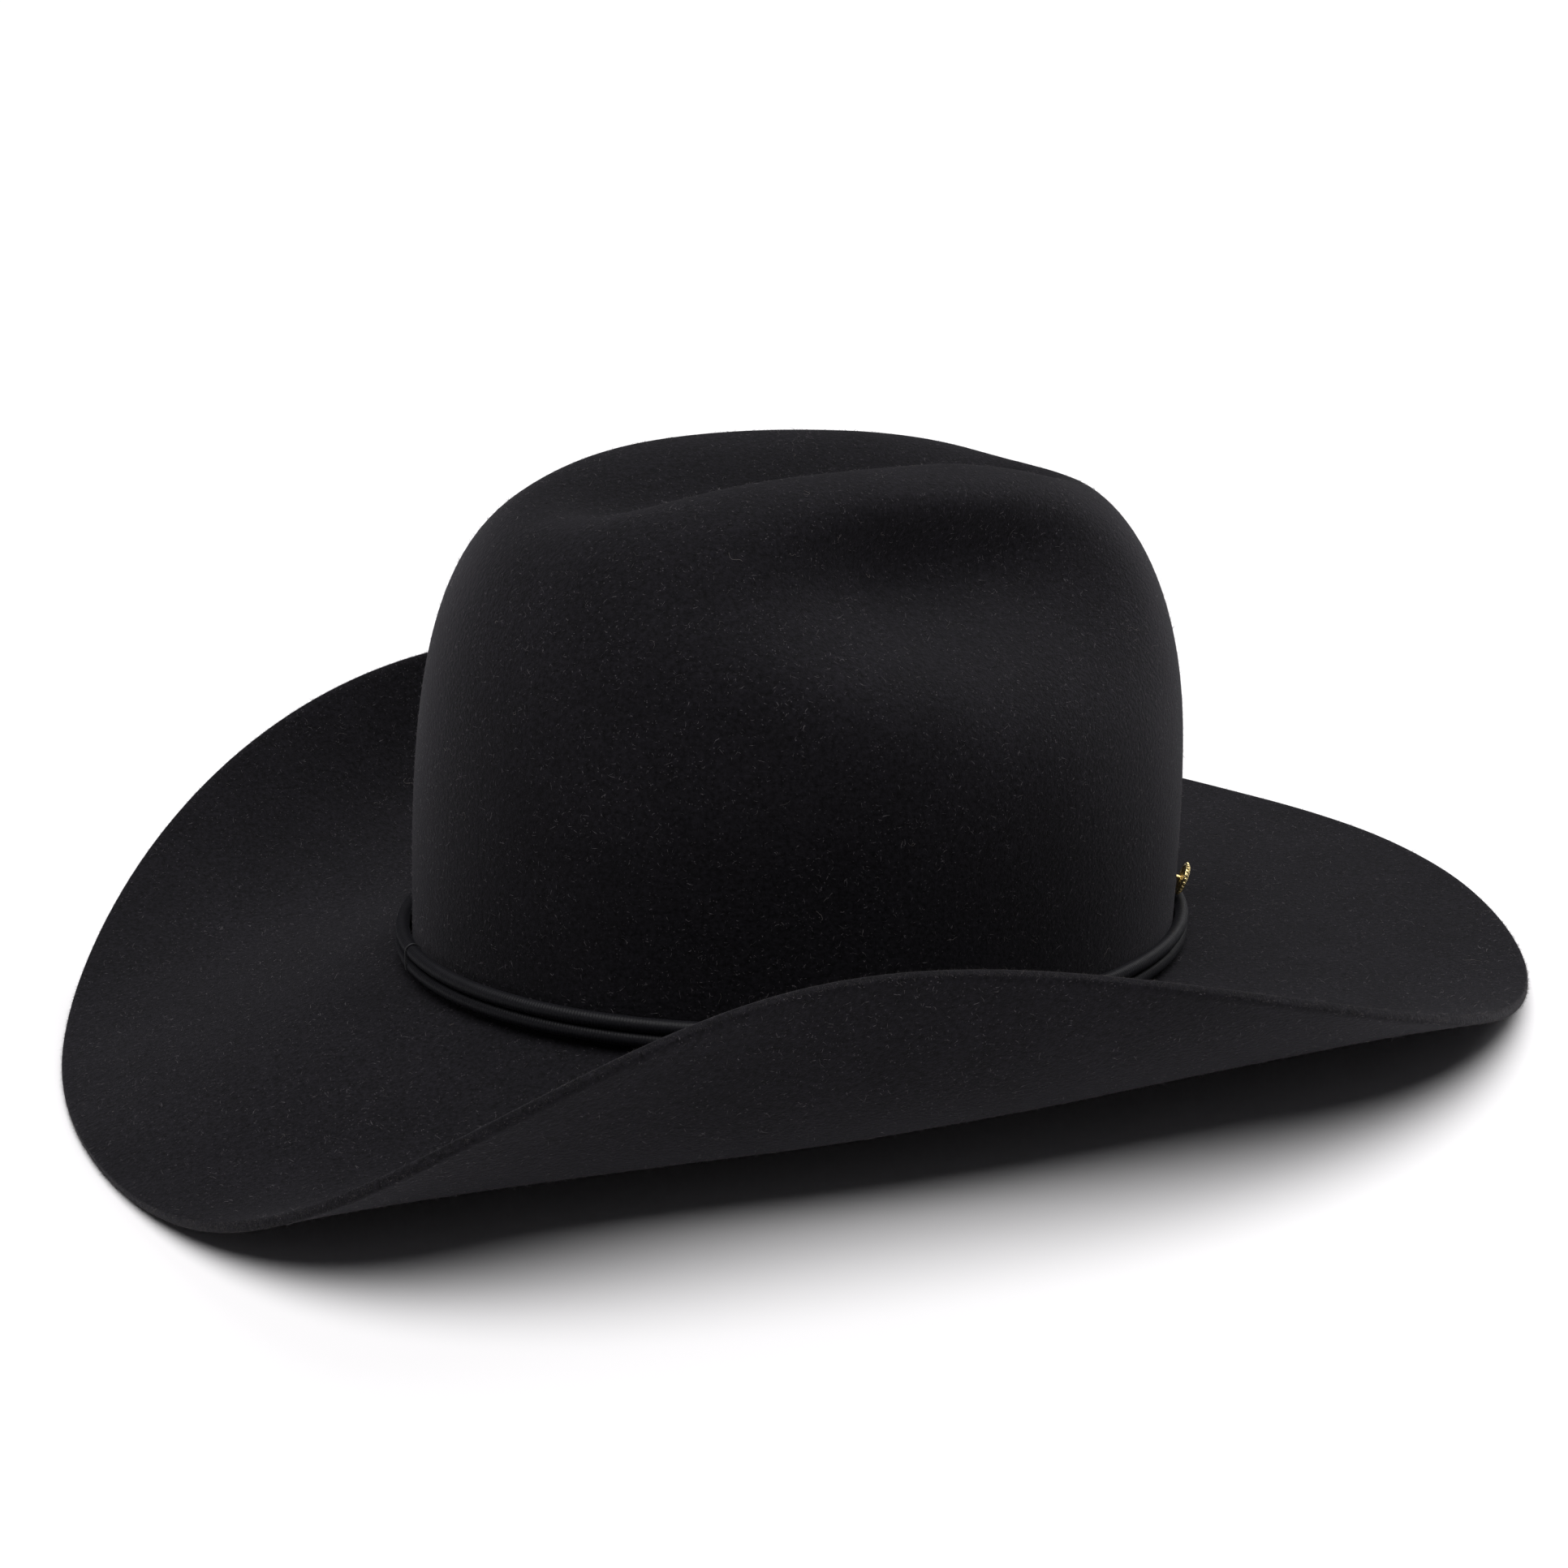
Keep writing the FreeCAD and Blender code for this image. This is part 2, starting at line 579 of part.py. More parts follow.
def ornament_disc(body):
    """Round plate with a raised middle, turned about the post's axis."""
    sketch = attached_sketch(body, "plate_profile", "XZ_Plane")
    radius, thick, step = dim("ornament_radius"), dim("ornament_thickness"), dim("rim_step")
    close_lines(sketch, [Vector(0, 0, 0), Vector(radius, 0, 0), Vector(radius, thick - step, 0),
                         Vector(radius - step, thick, 0), Vector(0, thick, 0)])
    sketch.addConstraint(Sketcher.Constraint("Coincident", 0, 1, -1, 1))
    sketch.addConstraint(Sketcher.Constraint("Horizontal", 0))
    sketch.addConstraint(Sketcher.Constraint("Vertical", 1))
    sketch.addConstraint(Sketcher.Constraint("Horizontal", 3))
    sketch.addConstraint(Sketcher.Constraint("Vertical", 4))
    sizes = (("DistanceX", 0, 1, 0, 2, radius, "<ornament_radius>"),
             ("DistanceY", 4, 2, 4, 1, thick, "<ornament_thickness>"),
             ("DistanceX", 2, 2, 2, 1, step, "<rim_step>"),
             ("DistanceY", 2, 1, 2, 2, step, "<rim_step>"))
    for kind, line, end, other, other_end, value, expression in sizes:
        index = sketch.addConstraint(
            Sketcher.Constraint(kind, line, end, other, other_end, value))
        bind(sketch, **{"Constraints[%d]" % index: expression})
    plate = body.newObject("PartDesign::Revolution", "plate")
    plate.Profile = sketch
    plate.ReferenceAxis = (sketch, ["V_Axis"])
    plate.Angle = 360.0


def ornament_beads(body):
    bead = body.newObject("PartDesign::AdditiveSphere", "bead")
    bind(bead, Radius="<bead_radius>", Placement__Base__x="<ornament_radius>",
         Placement__Base__z="<ornament_thickness> / 2")
    beads = body.newObject("PartDesign::PolarPattern", "beads")
    beads.Originals = [bead]
    beads.Axis = (origin_item(body, "Z_Axis"), [""])
    beads.Angle = 360.0
    bind(beads, Occurrences="<bead_count>")
    body.Tip = beads


def ornament_star(body):
    sketch = attached_sketch(body, "star_outline", "XY_Plane")
    corners = []
    for index in range(10):
        radius = dim("star_radius") if index % 2 == 0 else dim("star_waist")
        angle = math.pi * index / 5
        corners.append(Vector(-radius * math.cos(angle), radius * math.sin(angle), 0))
    close_lines(sketch, corners)
    star = body.newObject("PartDesign::Pad", "star")
    star.Profile = sketch
    bind(star, Length="<ornament_thickness> + <star_relief>")
    body.Tip = star


def ornament():
    post_frame = ornament_frame()
    body = doc.addObject("PartDesign::Body", "star_plate")
    ornament_disc(body)
    doc.recompute()
    ornament_beads(body)
    ornament_star(body)
    stand = Placement(Vector(0, 0, dim("ornament_standoff")), Rotation())
    finish(body, "star_ornament", post_frame.multiply(stand))

    lean = math.cos(math.radians(dim("ornament_tilt")))
    clutch_top = (dim("felt_thickness") + dim("clutch_standoff")) / lean
    tail_end = clutch_top + dim("clutch_thickness") + dim("post_tail")
    post = doc.addObject("Part::Cylinder", "post")
    bind(post, Radius="<post_radius>",
         Height=POST_DEPTH + " + <clutch_thickness> + <post_tail> + <ornament_standoff>")
    tail = Placement(Vector(0, 0, -tail_end), Rotation())
    finish(post, "ornament_post", post_frame.multiply(tail))

    washer = doc.addObject("Part::Cylinder", "clutch_washer")
    bind(washer, Radius="<clutch_radius>", Height="<clutch_thickness>")
    washer_hole = doc.addObject("Part::Cylinder", "clutch_hole")
    bind(washer_hole, Radius="<post_radius>", Height="<clutch_thickness>")
    grip = Placement(Vector(0, 0, -clutch_top - dim("clutch_thickness")), Rotation())
    finish(cut("clutch_ring", washer, washer_hole), "ornament_clutch", post_frame.multiply(grip))


# ---------------------------------------------------------------- build, test and write

felt_body()
band()
sweatband()
bow()
liner()
ornament()
doc.recompute()

for thing in doc.Objects:
    if "Invalid" in thing.State or "Error" in thing.State:
        raise RuntimeError("%s failed: %s" % (thing.Name, thing.State))
for thing in finished:
    if thing.Shape.isNull() or not thing.Shape.isValid() or thing.Shape.Volume <= 0:
        raise RuntimeError("%s has no valid solid" % thing.Label)
    thing.Shape.exportStep(os.path.join("parts", thing.Label + ".step"))
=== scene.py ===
import json
import math

import bpy
import numpy as np
from mathutils import Matrix, Vector
from mathutils.bvhtree import BVHTree


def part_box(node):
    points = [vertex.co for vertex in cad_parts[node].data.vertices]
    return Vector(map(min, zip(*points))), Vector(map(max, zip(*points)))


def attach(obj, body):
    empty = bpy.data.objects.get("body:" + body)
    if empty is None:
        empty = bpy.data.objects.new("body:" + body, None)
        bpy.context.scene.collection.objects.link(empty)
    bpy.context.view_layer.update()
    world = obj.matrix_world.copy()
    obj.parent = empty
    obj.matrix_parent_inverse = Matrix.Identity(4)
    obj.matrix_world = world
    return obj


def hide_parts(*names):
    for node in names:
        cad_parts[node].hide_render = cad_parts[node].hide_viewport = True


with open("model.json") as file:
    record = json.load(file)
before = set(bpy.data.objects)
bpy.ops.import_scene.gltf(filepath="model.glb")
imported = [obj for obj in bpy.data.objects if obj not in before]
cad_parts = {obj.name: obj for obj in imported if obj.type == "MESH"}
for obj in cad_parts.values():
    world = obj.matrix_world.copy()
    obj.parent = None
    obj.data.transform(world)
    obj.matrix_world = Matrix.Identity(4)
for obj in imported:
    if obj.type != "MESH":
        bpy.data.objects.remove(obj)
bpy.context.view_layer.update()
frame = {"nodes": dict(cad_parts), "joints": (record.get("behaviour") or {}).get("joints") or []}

# A black fur felt cowboy hat. Shapes are worked out in millimetres in the hat's own frame, brim
# break at height 0, +X to the front, +Y to the wearer's left, and are then seated on the ground.

MM = 0.001
TURN = 2 * math.pi
rng = np.random.default_rng(11)

# ---------------------------------------------------------------- dimensions, millimetres

HALF_LENGTH, HALF_WIDTH, CROWN_HEIGHT = 106.5, 89.0, 135.2
SHOULDER_POWER, DOME_POWER, SHOULDER_REACH = 4.04, 3.6, 0.86
WALL_FLARE, CROWN_LEAN, TOP_TILT = 0.006, 0.019, 0.017
FELT, BREAK_RADIUS = 2.5, 3.0
CREASE_BACK, CREASE_FRONT = -78.7, 29.4
CREASE_WIDTHS, CREASE_DEPTHS = (28.6, 15.7), (22.1, 12.6)
CREASE_OPENING, CREASE_OPENING_FADE = -68.5, 9.2
CREASE_PINCH, CREASE_PINCH_FADE = 68.6, 4.0
DENT_FRACTION, DENT_CENTRE, DENT_HALF_LENGTH = 0.42, 21.5, 59.7
DENT_HEIGHT, DENT_HALF_HEIGHT, DENT_DROP = 110.5, 20.9, 0.35
CREASE_REACH_POWER, DENT_END_POWER, DENT_DROP_LIMITS = 4, 2.5, (0.5, 1.5)
# brim stations at 0, 45, 90, 135 and 180 degrees from the front
BRIM_WIDTH = (92.7, 95.6, 102.5, 106.4, 95.3)
START_SLOPE = (-0.2, -0.9, -1.9, -20.4, -16.2)
EDGE_SLOPE = (4.3, 13.6, 70.7, 39.8, -19.3)
ROLL_START = (-0.03, 0.08, 0.13, 0.08, 0.12)
ROLL_END = (1.0, 1.02, 0.99, 0.96, 1.39)
SEAT_PITCH = math.radians(4.5)
BRIM_STEPS = 120
TURNS, TOP_ROWS, WALL_ROWS, FILLET_ROWS, BRIM_ROWS = 288, 46, 40, 4, 52
EDGE_ROWS, EDGE_BULGE, SKIN_UNEVEN = 4, 0.32, 0.045
NAP_COUNT, NAP_RADIUS, EDGE_FIBRES, EDGE_RADIUS = 17000, 0.032, 26000, 0.026
LINT_COUNT, LINT_STEPS, LINT_RADIUS = 150, 14, 0.022

CORD_RADIUS, CORD_STANDOFF, CORD_HEIGHTS = 1.9, 0.55, (3.3, 7.15)
RIB_PITCH, RIB_DEPTH, RIB_SAMPLES, CORD_SIDES = 0.8, 0.085, 4, 14
KEEPER_LENGTH, KEEPER_RADIUS, KEEPER_RIBS, KEEPER_RIB_SAMPLES = 12.0, 2.4, 26, 6
TACK_RADIUS, TACK_THREAD = 2.13, 0.1
LEATHER_INSET, LEATHER, LEATHER_BOTTOM, LEATHER_TOP = 6.2, 1.1, 0.6, 58.6
SEAM_SLIT = 1.2
STITCH_RADIUS, STITCH_HEIGHT, STITCH_PITCH, STITCH_SHARE = 0.22, 3.4, 3.1, 0.84
BOW_HEIGHT, BOW_RIBBON, BOW_LOOP, BOW_DEPTH, BOW_KNOT = 9.0, 5.0, 9.2, 2.0, 3.6
LINER_INSET, SATIN = 5.4, 0.3
LINER_BOTTOM, LINER_BEND, LINER_TOP = 8.0, 60.0, 97.0
LINER_TOP_INSETS = (26.0, 37.0)
PIPING_RADIUS = 0.9
STAR_STANDOFF, STAR_PLATE_RADIUS, STAR_BEADS, BEAD_RADIUS = 2.05, 4.3, 24, 0.45
STAR_RADIUS, STAR_WAIST = 3.5, 1.45

# lights: bearing, rise and spread in degrees, then strength
# viewpoint: bearing, rise and roll in degrees, then distance in metres
AIR_LIGHT = 0.06
SOFTBOX = (-15.0, 80.0, 62.0, 3.25)
FRONT_LIGHT = (112.0, 34.0, 40.0, 0.7)
CAMERA_VIEW = (-21.65, 18.01, -3.217, 0.7533)
CAMERA_TARGET = (-0.00139, 0.0, 0.05784)
UP = np.array([0.0, 0.0, 1.0])


# ---------------------------------------------------------------- meshes

def to_ground(points):
    """Hat-frame millimetres to the row's frame in metres."""
    points = np.asarray(points, float)
    x = points[..., 0] * math.cos(SEAT_PITCH) + points[..., 2] * math.sin(SEAT_PITCH)
    z = points[..., 2] * math.cos(SEAT_PITCH) - points[..., 0] * math.sin(SEAT_PITCH)
    return np.stack([x, points[..., 1], z], -1) * MM + seat_shift


def make_piece(name, points, faces, body, material, nodes=(), smooth=True):
    """A mesh piece in metres that rides on a body and stands for its CAD nodes."""
    mesh = bpy.data.meshes.new(name)
    mesh.from_pydata(np.asarray(points, float).reshape(-1, 3).tolist(), [], list(faces))
    mesh.validate()
    mesh.polygons.foreach_set("use_smooth", [smooth] * len(mesh.polygons))
    mesh.materials.append(material)
    piece = bpy.data.objects.new(name, mesh)
    bpy.context.scene.collection.objects.link(piece)
    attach(piece, body)
    if nodes:
        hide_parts(*nodes)
    return piece


def grid_faces(rows, columns, wrap_rows=False, wrap_columns=False, first=0):
    """Quads over a grid of points, row by row."""
    row = np.arange(rows if wrap_rows else rows - 1)[:, None]
    column = np.arange(columns if wrap_columns else columns - 1)[None, :]
    next_row, next_column = (row + 1) % rows, (column + 1) % columns
    corners = [row * columns + column, row * columns + next_column,
               next_row * columns + next_column, next_row * columns + column]
    return (np.stack(np.broadcast_arrays(*corners), -1).reshape(-1, 4) + first).tolist()


def end_caps(rows, columns):
    """The two end faces of a strip whose rows wrap round."""
    first = [row * columns for row in range(rows)]
    return [first, [corner + columns - 1 for corner in first][::-1]]


def fan(centre, ring):
    """Triangles from a centre point to each side of a closed ring, in the ring's order."""
    return [[centre, point, following] for point, following in zip(ring, ring[1:] + ring[:1])]


def unit(vectors):
    return vectors / np.maximum(np.linalg.norm(vectors, axis=-1, keepdims=True), 1e-12)


def tube_points(path, across, up, radius, sides):
    """Rings of points around a path; radius is one number or one for each ring and side."""
    angle = np.linspace(0, TURN, sides, endpoint=False)
    radius = np.broadcast_to(radius, (len(path), sides))
    return (path[:, None, :] + across[:, None, :] * (radius * np.cos(angle))[..., None]
            + up[:, None, :] * (radius * np.sin(angle))[..., None])


def path_frame(path):
    """Two directions square to a path at each of its points, without needless twist."""
    along = unit(np.gradient(path, axis=0))
    side = UP if abs(along[0, 2]) < 0.9 else np.array([1.0, 0.0, 0.0])
    across = np.zeros_like(path)
    for index, direction in enumerate(along):
        side = side - direction * (side @ direction)
        side = side / np.linalg.norm(side)
        across[index] = side
    return across, np.cross(along, across)


def closed_tube(path, radius, sides):
    """Points and faces of a capped tube along an open path."""
    across, up = path_frame(path)
    points = tube_points(path, across, up, radius, sides).reshape(-1, 3)
    faces = grid_faces(len(path), sides, wrap_columns=True)
    last = (len(path) - 1) * sides
    faces.append(list(range(sides))[::-1])
    faces.append([last + side for side in range(sides)])
    return points, faces


def joined(parts):
    """Several (points, faces) as one."""
    all_points, all_faces, count = [], [], 0
    for points, faces in parts:
        points = np.asarray(points).reshape(-1, 3)
        all_points.append(points)
        all_faces.extend([[index + count for index in face] for face in faces])
        count += len(points)
    return np.concatenate(all_points), all_faces


def make_joined(name, parts, material, nodes=()):
    """Several hat-frame parts as one piece of the hat."""
    grid, faces = joined(parts)
    return make_piece(name, to_ground(grid), faces, "hat", material, nodes)


# ---------------------------------------------------------------- the oval and the felt's skin

def oval_normals(phi, a, b):
    """Outward directions of an oval with half sizes a and b."""
    return unit(np.stack([np.cos(phi) / a, np.sin(phi) / b, 0 * phi], -1))


def oval_ring(outset, height, count, begin=0.0, end=TURN, closed=True):
    """Evenly spaced points on the crown's oval set out by a distance, and outward directions."""
    fine = np.linspace(begin, end, 4001)
    a, b = HALF_LENGTH + outset, HALF_WIDTH + outset
    x, y = a * np.cos(fine), b * np.sin(fine)
    length = np.concatenate([[0], np.cumsum(np.hypot(np.diff(x), np.diff(y)))])
    phi = np.interp(np.linspace(0, length[-1], count, endpoint=not closed), length, fine)
    points = np.stack([a * np.cos(phi), b * np.sin(phi), np.full(count, float(height))], -1)
    return points, oval_normals(phi, a, b), length[-1]


def station_curve(values, phi):
    """Even cosine series through the values at the five brim stations."""
    total = 0.0
    for order in range(5):
        term = sum((0.5 if index in (0, 4) else 1.0) * value
                   * math.cos(order * index * math.pi / 4) for index, value in enumerate(values))
        total = total + term / (4.0 if order in (0, 4) else 2.0) * np.cos(order * phi)
    return total


def sigmoid(value):
    return 1.0 / (1.0 + np.exp(-value))


def crown_points(phi, reach, rise):
    """Crown points: reach is the share of the oval's radius, rise the share of the height."""
    reach = reach * (1.0 + WALL_FLARE * rise)
    x = HALF_LENGTH * np.cos(phi) * reach
    y = HALF_WIDTH * np.sin(phi) * reach
    z = CROWN_HEIGHT * rise * (1.0 - TOP_TILT * x / HALF_LENGTH * rise)
    x = x + CROWN_LEAN * z
    along = x - DENT_CENTRE
    above = z - DENT_HEIGHT
    below_share = np.where(above < 0, 1.0 + DENT_DROP * along / DENT_HALF_LENGTH, 1.0)
    dent = np.exp(-np.abs(along / DENT_HALF_LENGTH) ** DENT_END_POWER
                  - (above / (DENT_HALF_HEIGHT * below_share.clip(*DENT_DROP_LIMITS))) ** 2)
    y = y * (1.0 - DENT_FRACTION * dent)
    share = np.clip((x - CREASE_BACK) / (CREASE_FRONT - CREASE_BACK), 0.0, 1.0)
    width = CREASE_WIDTHS[0] + share * (CREASE_WIDTHS[1] - CREASE_WIDTHS[0])
    depth = CREASE_DEPTHS[0] + share * (CREASE_DEPTHS[1] - CREASE_DEPTHS[0])
    window = (sigmoid((x - CREASE_OPENING) / CREASE_OPENING_FADE)
              * sigmoid((CREASE_PINCH - x) / CREASE_PINCH_FADE))
    z = z - depth * window * np.exp(-(y / width) ** 2) * rise ** CREASE_REACH_POWER
    return np.stack([x, y, z], -1)


def brim_profile(phi):
    """Distance out and height of the brim's upper face, from break to edge, for each bearing."""
    width = station_curve(BRIM_WIDTH, phi)[:, None]
    first, last = station_curve(START_SLOPE, phi), station_curve(EDGE_SLOPE, phi)
    begin, end = station_curve(ROLL_START, phi), station_curve(ROLL_END, phi)
    step = (np.arange(BRIM_STEPS) + 0.5) / BRIM_STEPS
    share = np.clip((step - begin[:, None]) / (end - begin)[:, None], 0.0, 1.0)
    slope = np.radians(first[:, None] + (last - first)[:, None] * share ** 2 * (3 - 2 * share))
    zero = np.zeros((len(phi), 1))
    out = np.concatenate([zero, np.cumsum(np.cos(slope) * width / BRIM_STEPS, 1)], 1)
    height = np.concatenate([zero, np.cumsum(np.sin(slope) * width / BRIM_STEPS, 1)], 1)
    return out, height


def felt_skin():
    """Grid of the outer skin, bearing by bearing, from the crown's centre to the brim's edge."""
    phi = -math.pi + TURN * np.arange(TURNS) / TURNS
    reach = SHOULDER_REACH * np.arange(1, TOP_ROWS + 1) / TOP_ROWS
    top = crown_points(phi[:, None], reach, (1.0 - reach ** SHOULDER_POWER) ** (1 / DOME_POWER))
    shoulder_rise = (1.0 - SHOULDER_REACH ** SHOULDER_POWER) ** (1 / DOME_POWER)
    foot_rise = BREAK_RADIUS / CROWN_HEIGHT
    rise = shoulder_rise + (foot_rise - shoulder_rise) * np.arange(1, WALL_ROWS + 1) / WALL_ROWS
    wall = crown_points(phi[:, None], (1.0 - rise ** DOME_POWER) ** (1 / SHOULDER_POWER), rise)

    out, height = brim_profile(phi)
    foot = np.stack([HALF_LENGTH * np.cos(phi), HALF_WIDTH * np.sin(phi), 0 * phi], -1)
    outward = oval_normals(phi, HALF_LENGTH, HALF_WIDTH)
    begin = BREAK_RADIUS / station_curve(BRIM_WIDTH, phi) * BRIM_STEPS
    brim = np.zeros((TURNS, BRIM_ROWS + 1, 3))
    for turn in range(TURNS):
        steps = np.linspace(begin[turn], BRIM_STEPS, BRIM_ROWS + 1)
        distance = np.interp(steps, np.arange(BRIM_STEPS + 1), out[turn])
        brim[turn] = foot[turn] + distance[:, None] * outward[turn]
        brim[turn, :, 2] = np.interp(steps, np.arange(BRIM_STEPS + 1), height[turn])
    share = (np.arange(1, FILLET_ROWS + 1) / (FILLET_ROWS + 1))[None, :, None]
    fillet = (wall[:, -1:] * (1 - share) ** 2 + foot[:, None] * 2 * share * (1 - share)
              + brim[:, :1] * share ** 2)
    centre = np.broadcast_to(crown_points(0.0, 0.0, 1.0), (TURNS, 1, 3))
    return np.concatenate([centre, top, wall, fillet, brim], 1)


def skin_normals(skin):
    around = np.roll(skin, -1, 0) - np.roll(skin, 1, 0)
    outward = np.gradient(skin, axis=1)
    normals = unit(np.cross(around, outward))
    normals[:, 0] = unit(normals[:, 1].mean(0))
    return normals * (1.0 if normals[0, 0, 2] > 0 else -1.0)


def seat_to_cad_box(skin, inner):
    """Shift that brings the pitched felt onto its CAD node's box."""
    low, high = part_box("felt_body")
    ground = to_ground(np.concatenate([skin.reshape(-1, 3), inner.reshape(-1, 3)]))
    middle = (ground.min(0) + ground.max(0)) / 2
    return np.array([(low.x + high.x) / 2 - middle[0], 0.0, low.z - ground[:, 2].min()])


seat_shift = np.zeros(3)
skin = felt_skin()
normals = skin_normals(skin)
lining_skin = skin - normals * FELT
seat_shift = seat_to_cad_box(skin, lining_skin)


# ---------------------------------------------------------------- materials

def new_material(name, colour, **settings):
    """A node material with its constant values on the shader's own sockets."""
    material = bpy.data.materials.new(name)
    material.use_nodes = True
    shader = material.node_tree.nodes["Principled BSDF"]
    shader.inputs["Base Color"].default_value = (*colour, 1.0)
    for socket, value in settings.items():
        shader.inputs[socket.replace("_", " ")].default_value = value
    return material, material.node_tree, shader


def feed(tree, shader, socket, output):
    tree.links.new(output, shader.inputs[socket])


def object_coordinates(tree, scale=(1.0, 1.0, 1.0)):
    coordinates = tree.nodes.new("ShaderNodeTexCoord")
    mapping = tree.nodes.new("ShaderNodeMapping")
    mapping.inputs["Scale"].default_value = scale
    tree.links.new(coordinates.outputs["Object"], mapping.inputs["Vector"])
    return mapping.outputs["Vector"]


def noise(tree, vector, scale, detail=4.0, roughness=0.6):
    node = tree.nodes.new("ShaderNodeTexNoise")
    node.inputs["Scale"].default_value = scale
    node.inputs["Detail"].default_value = detail
    node.inputs["Roughness"].default_value = roughness
    tree.links.new(vector, node.inputs["Vector"])
    return node.outputs["Fac"]


def cells(tree, vector, scale, output="Distance", feature="F1"):
    node = tree.nodes.new("ShaderNodeTexVoronoi")
    node.feature = feature
    node.inputs["Scale"].default_value = scale
    tree.links.new(vector, node.inputs["Vector"])
    return node.outputs[output]


def ramp(tree, factor, stops):
    """Colours over a factor; each stop is (place, colour)."""
    node = tree.nodes.new("ShaderNodeValToRGB")
    elements = node.color_ramp.elements
    while len(elements) < len(stops):
        elements.new(1.0)
    for element, (place, colour) in zip(elements, stops):
        element.position = place
        element.color = (*colour, 1.0)
    tree.links.new(factor, node.inputs["Fac"])
    return node.outputs["Color"]


def remap(tree, value, low, high, to_low, to_high):
    node = tree.nodes.new("ShaderNodeMapRange")
    for socket, number in zip(("From Min", "From Max", "To Min", "To Max"),
                              (low, high, to_low, to_high)):
        node.inputs[socket].default_value = number
    tree.links.new(value, node.inputs["Value"])
    return node.outputs["Result"]


def spread(tree, value, to_low, to_high):
    """The middle of a noise's range, spread over a new one."""
    return remap(tree, value, 0.3, 0.7, to_low, to_high)


def math_node(tree, operation, first, second):
    node = tree.nodes.new("ShaderNodeMath")
    node.operation = operation
    for socket, value in zip(node.inputs, (first, second)):
        if isinstance(value, (int, float)):
            socket.default_value = value
        else:
            tree.links.new(value, socket)
    return node.outputs["Value"]


def times(tree, first, second):
    return math_node(tree, "MULTIPLY", first, second)


def mix_colours(tree, factor, first, second, blend="MIX"):
    node = tree.nodes.new("ShaderNodeMix")
    node.data_type = "RGBA"
    node.blend_type = blend
    for name, value in (("Factor_Float", factor), ("A_Color", first), ("B_Color", second)):
        socket = next(s for s in node.inputs if s.identifier == name)
        if isinstance(value, (int, float)):
            socket.default_value = value
        elif isinstance(value, tuple):
            socket.default_value = (*value, 1.0)
        else:
            tree.links.new(value, socket)
    return next(s for s in node.outputs if s.identifier == "Result_Color")


def bump(tree, shader, height, distance, strength=1.0, after=None):
    """Bump of a height texture, in metres, on the shader's normal."""
    node = tree.nodes.new("ShaderNodeBump")
    node.inputs["Strength"].default_value = strength
    node.inputs["Distance"].default_value = distance
    tree.links.new(height, node.inputs["Height"])
    if after is not None:
        tree.links.new(after, node.inputs["Normal"])
    tree.links.new(node.outputs["Normal"], shader.inputs["Normal"])
    return node.outputs["Normal"]


def felt_material():
    """Fur felt: matted fine fibres, a soft grazing sheen and a scatter of paler specks painted in
    as highlights of fibres catching the light.
    """
    material, tree, shader = new_material(
        "black_fur_felt", (0.006, 0.0055, 0.007), Roughness=0.85, Specular_IOR_Level=0.10,
        Sheen_Weight=0.075, Sheen_Roughness=0.42, Sheen_Tint=(0.93, 0.90, 1.0, 1.0))
    place = object_coordinates(tree)
    clouds = noise(tree, place, 38.0, 3.0)
    matted = noise(tree, place, 900.0, 5.0, 0.65)
    fibres = noise(tree, object_coordinates(tree, (1.0, 1.0, 0.35)), 3800.0, 3.0, 0.7)
    shade = times(tree, spread(tree, clouds, 0.86, 1.14),
                      spread(tree, matted, 0.3, 1.8))
    # Painted highlights: pale specks in the base colour stand for single fibres catching the
    # light.
    glint_speck_mask = remap(tree, cells(tree, place, 1150.0), 0.05, 0.22, 1.0, 0.0)
    glint_patch_mask = remap(tree, noise(tree, place, 420.0, 2.0), 0.52, 0.62, 0.0, 1.0)
    base = ramp(tree, times(tree, shade, 0.5),
                [(0.2, (0.0015, 0.0014, 0.0019)), (0.9, (0.0125, 0.0115, 0.0145))])
    # The pale specks mixed in here are painted highlights, not a colour of the fibres.
    tips = times(tree, times(tree, glint_speck_mask, glint_patch_mask), 0.8)
    colour = mix_colours(tree, tips, base, (0.11, 0.10, 0.11))
    feed(tree, shader, "Base Color", colour)
    feed(tree, shader, "Roughness", spread(tree, matted, 0.78, 0.95))
    coarse = bump(tree, shader, matted, 0.0005, 0.8)
    bump(tree, shader, fibres, 0.00009, 0.6, coarse)
    return material


def fibre_material(name, low, high, scale):
    """Single fibres, each a slightly different shade."""
    material, tree, shader = new_material(name, high, Roughness=0.6, Specular_IOR_Level=0.3)
    shade = noise(tree, object_coordinates(tree), scale, 1.0)
    tree.links.new(ramp(tree, shade, [(0.35, low), (0.65, high)]), shader.inputs["Base Color"])
    return material


def grosgrain_material():
    """Tight rayon grosgrain: a faint cool sheen on the ribs over fine warp threads."""
    material, tree, shader = new_material(
        "charcoal_grosgrain", (0.007, 0.0068, 0.009), Roughness=0.5, Specular_IOR_Level=0.18,
        Sheen_Weight=0.03, Sheen_Roughness=0.35, Sheen_Tint=(0.85, 0.88, 1.0, 1.0))
    place = object_coordinates(tree)
    warp = noise(tree, place, 3200.0, 2.0, 0.5)
    wear = noise(tree, place, 90.0, 3.0)
    shade = times(tree, spread(tree, warp, 0.65, 1.25),
                      spread(tree, wear, 0.85, 1.12))
    colour = ramp(tree, times(tree, shade, 0.5),
                  [(0.2, (0.003, 0.003, 0.004)), (0.9, (0.013, 0.0125, 0.016))])
    feed(tree, shader, "Base Color", colour)
    feed(tree, shader, "Roughness", spread(tree, warp, 0.42, 0.62))
    bump(tree, shader, warp, 0.00006, 0.7)
    return material


